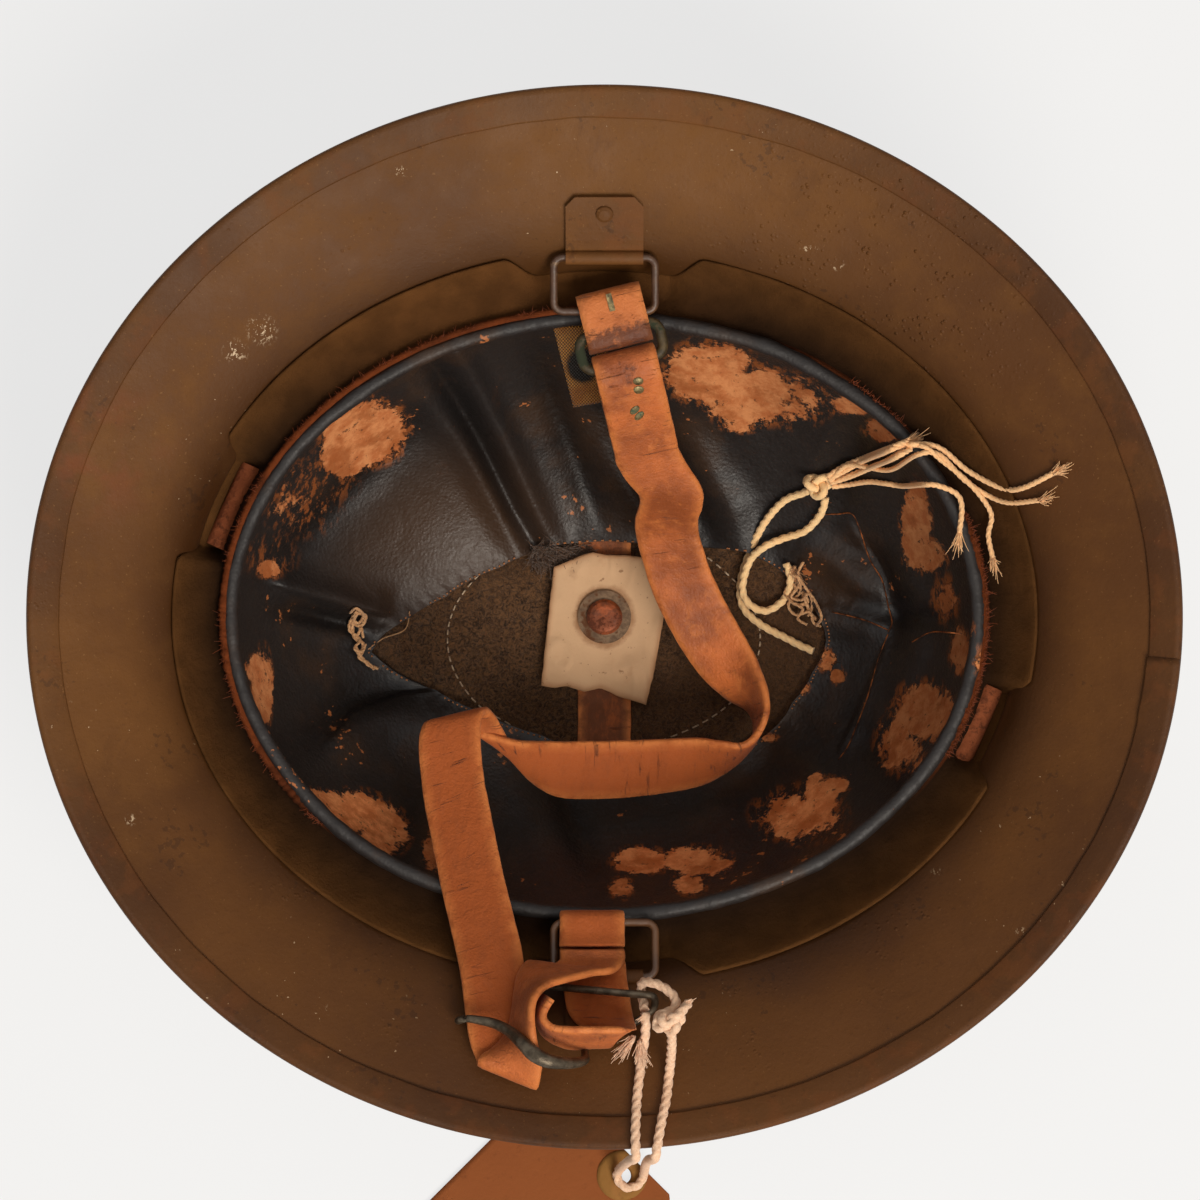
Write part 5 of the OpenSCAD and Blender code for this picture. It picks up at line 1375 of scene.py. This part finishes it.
def tab():
    """Leather sleeve round the loop's bar and the link."""
    cavity, t, long, across = 3.4, 1.8, 16.5, 10
    high = cavity + 2 * t
    low = LINK_BAR - LINK_WIRE - 0.5 - t - 1.5
    y0, y1 = low + high / 2, low + long - high / 2
    r = cavity / 2 + t / 2
    pts = []
    for y, start in ((y1, -90), (y0, 90)):
        for k in range(13):
            a = math.radians(start + 180 * k / 12)
            pts.append((y + r * math.cos(a), r * math.sin(a)))
    n = len(pts)
    verts, edge, flesh, stain, uvs = [], [], [], [], []
    run = 0.0
    c, s = math.cos(TURN), math.sin(TURN)
    for i, (y, z) in enumerate(pts):
        (yn, zn), (yp, zp) = pts[(i + 1) % n], pts[i - 1]
        ty, tz = yn - yp, zn - zp
        reach = math.hypot(ty, tz)
        run += reach / 2
        for q in (1, -1):
            for k in range(across + 1):
                u = -1 + 2 * k / across
                at_edge = abs(u) > 0.99
                off = q * t / 2 * (0.82 if at_edge else 1)
                x = u * (STRAP_WIDTH / 2 * (1 + 0.02 * noise.noise(Vector((y / 4, z / 4, u * 3)))))
                yy, zz = y + tz / reach * off, z - ty / reach * off
                verts.append(np.array([LINK_X + x * c - yy * s, LINK_Y + x * s + yy * c, LINK_Z + zz]))
                edge.append(1.0 if at_edge else 0.25 * (abs(u) > 0.79))
                flesh.append(0.0 if q > 0 else 1.0)
                uvs.append((x * MM, run * MM))
                stain.append(0.75 if z > 0 and y < y0 + 1.2 and q > 0 else 0.15)
    k = across + 1
    faces = []
    for i in range(n):
        a, b = i * 2 * k, ((i + 1) % n) * 2 * k
        for j in range(across):
            faces.append((a + j, b + j, b + j + 1, a + j + 1))
            faces.append((a + k + j, a + k + j + 1, b + k + j + 1, b + k + j))
        faces.append((a, a + k, b + k, b))
        faces.append((a + across, b + across, b + k + across, a + k + across))
    o = make("loop_tab", verts, faces, "upper_hanger", tab_mat,
             {"edge": edge, "flesh": flesh, "stain": stain}, uvs)
    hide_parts("strap_tab")


def prongs(tree):
    """Two split rivets in the strap end: each an oblong of two bent prongs with a slit."""
    parts = []
    for a, b, turn, long, wide in [(638.5, 385.5, 4, 2.1, 1.45), (637, 413, 40, 1.8, 1.55)]:
        c, d = math.cos(math.radians(turn)), math.sin(math.radians(turn))
        z = 84.0
        for _ in range(4):
            x, y = px(a, b, z)
            z = drop(tree, x, y)
        for side in (-1, 1):
            verts = []
            for i in range(9):
                v = math.pi / 2 * i / 8
                for j in range(20):
                    u = 2 * math.pi * j / 20
                    lx = wide * math.cos(u) * math.cos(v)
                    ly = long / 2 * math.sin(u) * math.cos(v) + side * long * 0.54
                    qx, qy = x + lx * c - ly * d, y + lx * d + ly * c
                    verts.append(np.array([qx, qy, drop(tree, qx, qy) + 0.75 * math.sin(v) - 0.12]))
            parts.append((verts, grid(9, 20)))
    o = make("strap_prongs", *joined(parts), "upper_hanger", prong)
    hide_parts("strap_rivets")


# Buckle: places along its wire, and the wire's radius
BUCKLE = [[-36.4, -106.4, 103, 1], [-33, -106.8, 104, 1.2], [-29, -107.6, 105.4, 1.35],
          [-25, -109.4, 109.5, 1.5], [-21.5, -112, 115.6, 1.8], [-18.5, -114.6, 118.2, 2.1],
          [-15, -116.4, 118.2, 1.95], [-11, -117.2, 116, 1.6], [-7.6, -117.4, 112, 1.4],
          [-5.2, -117, 107.6, 1.2], [-5.2, -115.6, 103, 1], [-4.8, -113.2, 99.8, 1],
          [-1, -111.2, 98.2, 1], [5, -109.4, 97.8, 1], [9.4, -107, 97.6, 1], [12.9, -104, 98.6, 1],
          [13.3, -101.4, 101, 1], [12, -100.2, 103, 1], [8, -100, 101.8, 1], [-4, -99.2, 96.6, 1],
          [-16, -98.4, 91.6, 1], [-21.9, -98, 89.3, 1], [-26, -100.4, 91.6, 1], [-30, -102.8, 93.9, 1],
          [-35, -106, 95.7, 1], [-38.4, -107.2, 98, 1], [-38.6, -107, 101.2, 1]]


def closed_curve(pts, step):
    """A smooth closed curve through pts: what lies between two passes of its first point."""
    c = catmull([pts[-2], pts[-1]] + pts + pts[:3], step)
    hits = [i for i in range(len(c)) if np.linalg.norm(c[i][:3] - np.array(pts[0][:3])) < 1e-6]
    return c[hits[0]:hits[-1]]


def buckle():
    c = closed_curve(BUCKLE, 0.6)
    o = make("slide_buckle", *tube(c[:, :3], c[:, 3], 14, closed=True), "buckle", gunmetal)
    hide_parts("strap_buckle")


strap_tree = straps()
crown_strip()
tab()
buckle()
prongs(strap_tree)

# Tag string: its turn on the buckle with the bow, then one loop over the rim and through the tag
BOW = [[22.2, -101.6, 111], [20.6, -103.4, 113.6], [17.4, -106.6, 114.6], [14, -108.2, 112.6],
       [14.4, -105, 111.6], [18.2, -103.4, 111.2], [18.6, -100.6, 109.6], [15.6, -97.8, 107.8],
       [12, -96.6, 105.8], [10, -97, 102.8], [9.8, -99.6, 99.6], [10.3, -102.2, 100.6],
       [10.6, -104, 102.6]]
STRING = [[10.7, -104.8, 103.5], [10.9, -107.4, 103.6], [10.7, -111.4, 101.8], [9.8, -117.6, 99.6],
          [8.6, -127.6, 102.5], [8.4, -131.6, 104.5], [8.2, -135, 106], [8.2, -140.6, 107.8],
          [8.2, -142.9, 105.8], [8, -144.2, 96], [7.6, -146.4, 76], [7, -149, 50], [6.2, -151.8, 28],
          [5, -154.4, 12], [3.9, -156.4, 4.6], [3.6, -158.6, 3], [6, -161.2, 3], [9.6, -160.4, 3],
          [11, -157.6, 3.6], [11.4, -154.4, 12], [11.8, -151.6, 28], [12.2, -148.8, 50],
          [12.6, -146.4, 76], [13, -144.3, 96], [13.4, -142.9, 105.8], [13.8, -140.6, 107.8],
          [14.8, -135, 106.2], [15.5, -131.6, 104.7], [16.4, -127.6, 103], [17.2, -120.6, 101.4],
          [17.7, -114, 107.6], [17.6, -109.3, 113.1]]
# Frayed ends: a place, a direction, the number and length of fibres, and the body
BRUSHES = [((21.6, -101.8, 112), (1, 0.6, 0.4), 12, 2, "buckle"),
           ((7.6, -111.5, 103), (-0.75, -1, 0.1), 60, 6, "helmet"),
           ((9.6, -112.5, 103), (0.05, -1, 0.1), 60, 6, "helmet"),
           ((10.6, -105.5, 104), (-0.8, -0.9, 0.2), 12, 2, "buckle")]


def tag_strings():
    o = cord_piece("string_bow", catmull(BOW, 0.8), 2.7, string_mat, "string_knot", "buckle", 3, 2.6)
    k = knot_mesh("string_tie", (17.6, -106.6, 113.4), 2.5, 2.5, string_mat, "buckle")
    o = cord_piece("tag_loop", catmull(STRING, 0.9), 2.7, string_mat, "tag_string", "helmet", 3, 2.6)
    for i, (at, way, fibres, long, body) in enumerate(BRUSHES):
        t = fray(f"string_brush_{i + 1}", at, way, fibres, long, 0.16, 0.17, string_mat, body, 60 + i)


def even(outline, n):
    """n points, evenly spaced, round a closed outline."""
    ring = np.array(list(outline) + [outline[0]])
    s = np.concatenate([[0], np.cumsum(np.linalg.norm(np.diff(ring, axis=0), axis=1))])
    u = np.linspace(0, s[-1], n, endpoint=False)
    return np.stack([np.interp(u, s, ring[:, 0]), np.interp(u, s, ring[:, 1])], axis=1)


CARD = [(554, 567), (566, 562), (580, 556), (592, 552), (606, 555), (620, 555), (643, 557), (655, 580),
        (666, 605), (660, 640), (652, 680), (646, 705), (620, 697), (600, 688), (585, 692), (567, 686),
        (554, 688), (541, 686), (546, 640), (550, 600)]


def card_sheet():
    """The bare card under the washer, creased and torn."""
    rings, n, lies_at = 22, 160, 10.3
    border = even([px(x, y, 10.5) for x, y in CARD], n)
    border += np.array([[wobble((x, y, 0), 2.5, 0.16), wobble((x, y, 5), 2.5, 0.16)] for x, y in border])
    verts, edge, stain = [], [], []
    for i in range(rings):
        f = 0.18 + 0.82 * i / (rings - 1)
        for j in range(n):
            x, y = border[j] * f
            r = math.hypot(x, y)
            z = 10.35 + smooth(9, 20, r) * (0.9 + 1.3 * noise.noise(Vector((x / 9, y / 9, 0.4)))) * 0.9
            z += 0.5 * smooth(9, 16, r) * max(0, 1 - abs(noise.noise(Vector((x / 6, y / 14, 2.4)))) * 5)
            verts.append(np.array([x, y, max(z, lies_at)]))
            edge.append(smooth(0.9, 1.0, f))
            stain.append(0.7 * smooth(11.5, 7.5, r) + 0.5 * smooth(5, 0, math.hypot(x + 9, y - 12)))
    o = make("crown_label", verts, grid(rings, n, flip=True), "helmet", card_mat(),
             {"edge": edge, "stain": stain})
    thicken(o, 0.0003)
    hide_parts("crown_card")


# Canvas patch: its corners and its hole, as photograph's x and y and height
CANVAS = [(553, 327, 66), (605, 325, 68), (613, 397, 58), (573, 404, 56)]
CANVAS_HOLE, HOLE_R = (583, 362, 64), 4.2


def canvas():
    """Canvas patch beside the strap, smoothed over the cap, with a dark round hole painted on as shade."""
    cols, rows, over_cap = 16, 26, 0.7
    corners = np.array([px(*c) for c in CANVAS])
    place = np.zeros((rows, cols, 3))
    for i in range(rows):
        for j in range(cols):
            a, b = j / (cols - 1), i / (rows - 1)
            top_edge = corners[0] * (1 - a) + corners[1] * a
            low_edge = corners[3] * (1 - a) + corners[2] * a
            x, y = top_edge * (1 - b) + low_edge * b
            z = drop(ground[0], x, y)
            place[i, j] = (x, y, BEAD_Z if z is None else z + over_cap)
    lowest = place[:, :, 2].copy()
    for _ in range(30):
        z = place[:, :, 2]
        z[1:-1, 1:-1] = (z[:-2, 1:-1] + z[2:, 1:-1] + z[1:-1, :-2] + z[1:-1, 2:]) / 4
        z[0], z[-1] = z[1] * 2 - z[2], z[-2] * 2 - z[-3]
        z[:, 0], z[:, -1] = z[:, 1] * 2 - z[:, 2], z[:, -2] * 2 - z[:, -3]
        place[:, :, 2] = np.maximum(z, lowest)
    hx, hy = px(*CANVAS_HOLE)
    verts = list(place.reshape(-1, 3))
    hole = [max(0.0, min(1.0, 1 - (math.hypot(x - hx, y - hy) - HOLE_R) / 0.8)) for x, y, _ in verts]
    uvs = [(x * MM, y * MM) for x, y, _ in verts]
    o = make("canvas_piece", verts, grid(rows, cols, close_cols=False, flip=True), "helmet", canvas_mat(),
             {"hole": hole}, uvs)
    thicken(o, 0.0006, 0)
    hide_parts("canvas_patch")


# Open seams of the cap, in the photograph's frame
SEAMS = [[(812, 515), (838, 514), (852, 514), (860, 530), (870, 560), (882, 580), (888, 605), (892, 622),
          (888, 632)],
         [(832, 612), (850, 616), (870, 622), (888, 630)],
         [(888, 634), (878, 660), (868, 695), (858, 722), (848, 746), (838, 760)],
         [(912, 642), (926, 634), (944, 632), (962, 634)]]


def seams():
    """Open seams of the cap: thin orange lines of bare leather edge."""
    m = Mat("seam_edge", rough=0.8, spec=0.2)
    m.color(m.over(lin(150, 84, 42), lin(58, 32, 18), m.noise(420, 4), 0.35, 0.65))
    m.bump((m.noise(900, 3), 0.0003))
    parts = []
    for line in SEAMS:
        places = [on_ground(a, b, 40.0) for a, b in line]
        p = catmull([(x, y, z + 0.12) for x, y, z in places], 1.0)
        q = np.array([[x, y, under(x, y) + 0.1] for x, y, _ in p])
        parts.append(tube(q, 0.21, 6))
    make("cap_seams", *joined(parts), "helmet", m.m)


def edge_stitches():
    """Fine stitches along the gathered edge of the opening, lost in places."""
    count, long, beyond = 190, 0.011, 1.014
    parts = []
    for j in range(count):
        phi = 2 * math.pi * j / count
        ox, oy = opening(phi)
        ox2, oy2 = opening(phi + long)
        if wobble((ox, oy, 0), 9, 1.0, 4.2) < -0.25:
            continue
        pts = []
        for t in np.linspace(0, 1, 4):
            x, y = (ox + (ox2 - ox) * t) * beyond, (oy + (oy2 - oy) * t) * beyond
            pts.append(np.array([x, y, under(x, y) + 0.22]))
        parts.append(tube(np.array(pts), 0.24, 5))
    thread = cotton("edge_thread", lin(206, 136, 84), lin(140, 84, 46))
    make("edge_stitches", *joined(parts), "helmet", thread)


def tuft():
    """Dark fur-like tuft at the card's upper left corner."""
    m = Mat("tuft_fibre", rough=0.7, spec=0.3, sheen=0.2)
    m.color(m.mix(m.noise(400, 4), lin(112, 76, 48), lin(40, 26, 16)))
    rng = np.random.default_rng(11)
    parts = []
    for _ in range(1000):
        x, y = px(rng.uniform(531, 591), rng.uniform(545, 564), 14)
        start = np.array([x, y, under(x, y) + rng.uniform(0.1, 2.2)])
        d = np.array([rng.normal() * 0.6 + 0.5, rng.normal() * 0.5 - 0.5, rng.uniform(0.1, 0.7)])
        d /= np.linalg.norm(d)
        long = rng.uniform(2.0, 4.6)
        bend = rng.normal(size=3) * 0.8 - np.array([0, 0, 1.2])
        pts = [start + d * long * t + bend * t * t for t in np.linspace(0, 1, 5)]
        parts.append(tube(np.array(pts), 0.17, 3, taper=0.7))
    make("felt_tuft", *joined(parts), "helmet", m.m)


# Card tag: its hole's place, its turn, and its outline from the hole
TAG_X, TAG_Y, TAG_TURN = 5.0, -158.0, math.radians(45)
TAG_LONG, TAG_WIDE, TAG_CLIP, TAG_END, TAG_HOLE = 119.0, 67.0, 20.0, 5.6, 2.5


def tag_place(u, w, z):
    c, s = math.cos(TAG_TURN), math.sin(TAG_TURN)
    return np.array([TAG_X + u * c - w * s, TAG_Y + u * s + w * c, z])


def tag_card():
    """Card tag on the ground, with a slight curl at its corners."""
    half = TAG_WIDE / 2
    outline = [(-TAG_LONG, -half), (TAG_END - TAG_CLIP, -half), (TAG_END, -half + TAG_CLIP),
               (TAG_END, half - TAG_CLIP), (TAG_END - TAG_CLIP, half), (-TAG_LONG, half)]
    rings, n = 20, 200
    border = even(outline, n)
    turn = np.linspace(0, 2 * math.pi, n, endpoint=False) + math.pi * 1.15
    hole = np.stack([TAG_HOLE * np.cos(turn), TAG_HOLE * np.sin(turn)], axis=1)
    verts = []
    for t in np.linspace(0, 1, rings):
        for j in range(n):
            q = hole[j] * (1 - t) + border[j] * t
            curl = 0.5 + noise.noise(Vector((q[0] / 20, q[1] / 20, 0)))
            verts.append(tag_place(*q, 0.8 + 0.5 * smooth(40, 90, abs(q[0])) * curl))
    mat = tag_mat("tag_card", lin(152, 87, 45), lin(128, 70, 35), lin(96, 50, 25))
    o = make("string_tag", verts, grid(rings, n, flip=True), "helmet", mat)
    thicken(o, 0.0007)
    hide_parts("tag")


def tag_ring():
    """The round patch of the tag's hole, cut off at the tag's end."""
    n = 96
    rows = [(TAG_HOLE, 1.0), (3.2, 1.35), (4.6, 1.4), (6.0, 1.32), (7.2, 1.1), (7.2, 0.82)]
    verts = []
    for r, z in rows:
        for j in range(n):
            t = 2 * math.pi * j / n
            rr = r + wobble((r * math.cos(t), r * math.sin(t), 0), 2, 0.08)
            verts.append(tag_place(min(rr * math.cos(t), TAG_END), rr * math.sin(t) * 0.98, z))
    mat = tag_mat("patch_card", lin(154, 112, 58), lin(132, 90, 44), lin(104, 66, 32))
    o = make("tag_ring", verts, grid(len(rows), n, flip=True), "helmet", mat)
    thicken(o, 0.0002)
    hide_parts("tag_patch")


tag_strings()
card_sheet()
canvas()
seams()
edge_stitches()
tuft()
tag_card()
tag_ring()

# Materials of the CAD nodes that stay
wire = worn_wire()
for node, mat in [("crown_rivet", copper), ("crown_washer", washer), ("rubber_tubes", rubber_mat()),
                  ("tube_lace", net_mat), ("upper_bracket", lug_paint), ("lower_bracket", lug_paint),
                  ("bracket_rivets", lug_paint), ("tab_rivet", prong), ("strap_link", brass),
                  ("upper_loop", wire), ("lower_loop", wire)]:
    assign(node, mat)


def seen_rays(tree):
    """1 for camera, glossy and transmission rays."""
    path = tree.nodes.new("ShaderNodeLightPath")
    last = path.outputs["Is Camera Ray"]
    for key in ("Is Glossy Ray", "Is Transmission Ray"):
        top = tree.nodes.new("ShaderNodeMath")
        top.operation = "MAXIMUM"
        tree.links.new(last, top.inputs[0])
        tree.links.new(path.outputs[key], top.inputs[1])
        last = top.outputs[0]
    return last


def shader(tree, kind, colour):
    n = tree.nodes.new(kind)
    n.inputs["Color"].default_value = colour
    return n


def mixed(tree, share, a, b, out):
    """Two shaders mixed into an output node."""
    mix = tree.nodes.new("ShaderNodeMixShader")
    for source, sock in ((share, 0), (a.outputs[0], 1), (b.outputs[0], 2)):
        tree.links.new(source, mix.inputs[sock])
    tree.links.new(mix.outputs[0], out.inputs[0])


def floor():
    """A pale floor that takes the shadow; seen rays meet mostly its own light."""
    me = bpy.data.meshes.new("floor")
    s = 3.0
    me.from_pydata([(-s, -s, 0), (s, -s, 0), (s, s, 0), (-s, s, 0)], [], [(0, 1, 2, 3)])
    o = bpy.data.objects.new("floor", me)
    scene.collection.objects.link(o)
    o.location = (0, 0, -0.0004)
    m = bpy.data.materials.new("floor_pale")
    m.use_nodes = True
    t = m.node_tree
    t.nodes.clear()
    share = t.nodes.new("ShaderNodeMath")
    share.operation = "MULTIPLY"
    share.inputs[1].default_value = 0.8
    t.links.new(seen_rays(t), share.inputs[0])
    matte = shader(t, "ShaderNodeBsdfDiffuse", (0.78, 0.78, 0.78, 1))
    glow = shader(t, "ShaderNodeEmission", (0.93, 0.93, 0.93, 1))
    glow.inputs["Strength"].default_value = 1.0
    mixed(t, share.outputs[0], matte, glow, t.nodes.new("ShaderNodeOutputMaterial"))
    me.materials.append(m)


def world():
    """A weak warm sky; seen rays meet the photograph's grey."""
    w = bpy.data.worlds.new("studio")
    scene.world = w
    w.use_nodes = True
    t = w.node_tree
    sky = t.nodes["Background"]
    sky.inputs["Color"].default_value = (1.0, 0.92, 0.82, 1)
    sky.inputs["Strength"].default_value = 0.25
    grey = shader(t, "ShaderNodeBackground", lin(232, 232, 232))
    grey.inputs["Strength"].default_value = 1.0
    mixed(t, seen_rays(t), sky, grey, t.nodes["World Output"])


def lamp(name, place, size, power):
    """A round lamp that faces the bowl."""
    light = bpy.data.lights.new(name, "AREA")
    light.shape = "DISK"
    light.size = size
    light.energy = power
    light.color = (1, 0.93, 0.83)
    o = bpy.data.objects.new(name, light)
    scene.collection.objects.link(o)
    o.location = place
    o.rotation_euler = Vector(place).to_track_quat("Z", "Y").to_euler()


floor()
world()
lamp("key", (0.62, -1.15, 1.75), 1.2, 41)
lamp("fill", (0.0, 0.3, 2.3), 1.4, 5)
scene.view_settings.view_transform = "Standard"
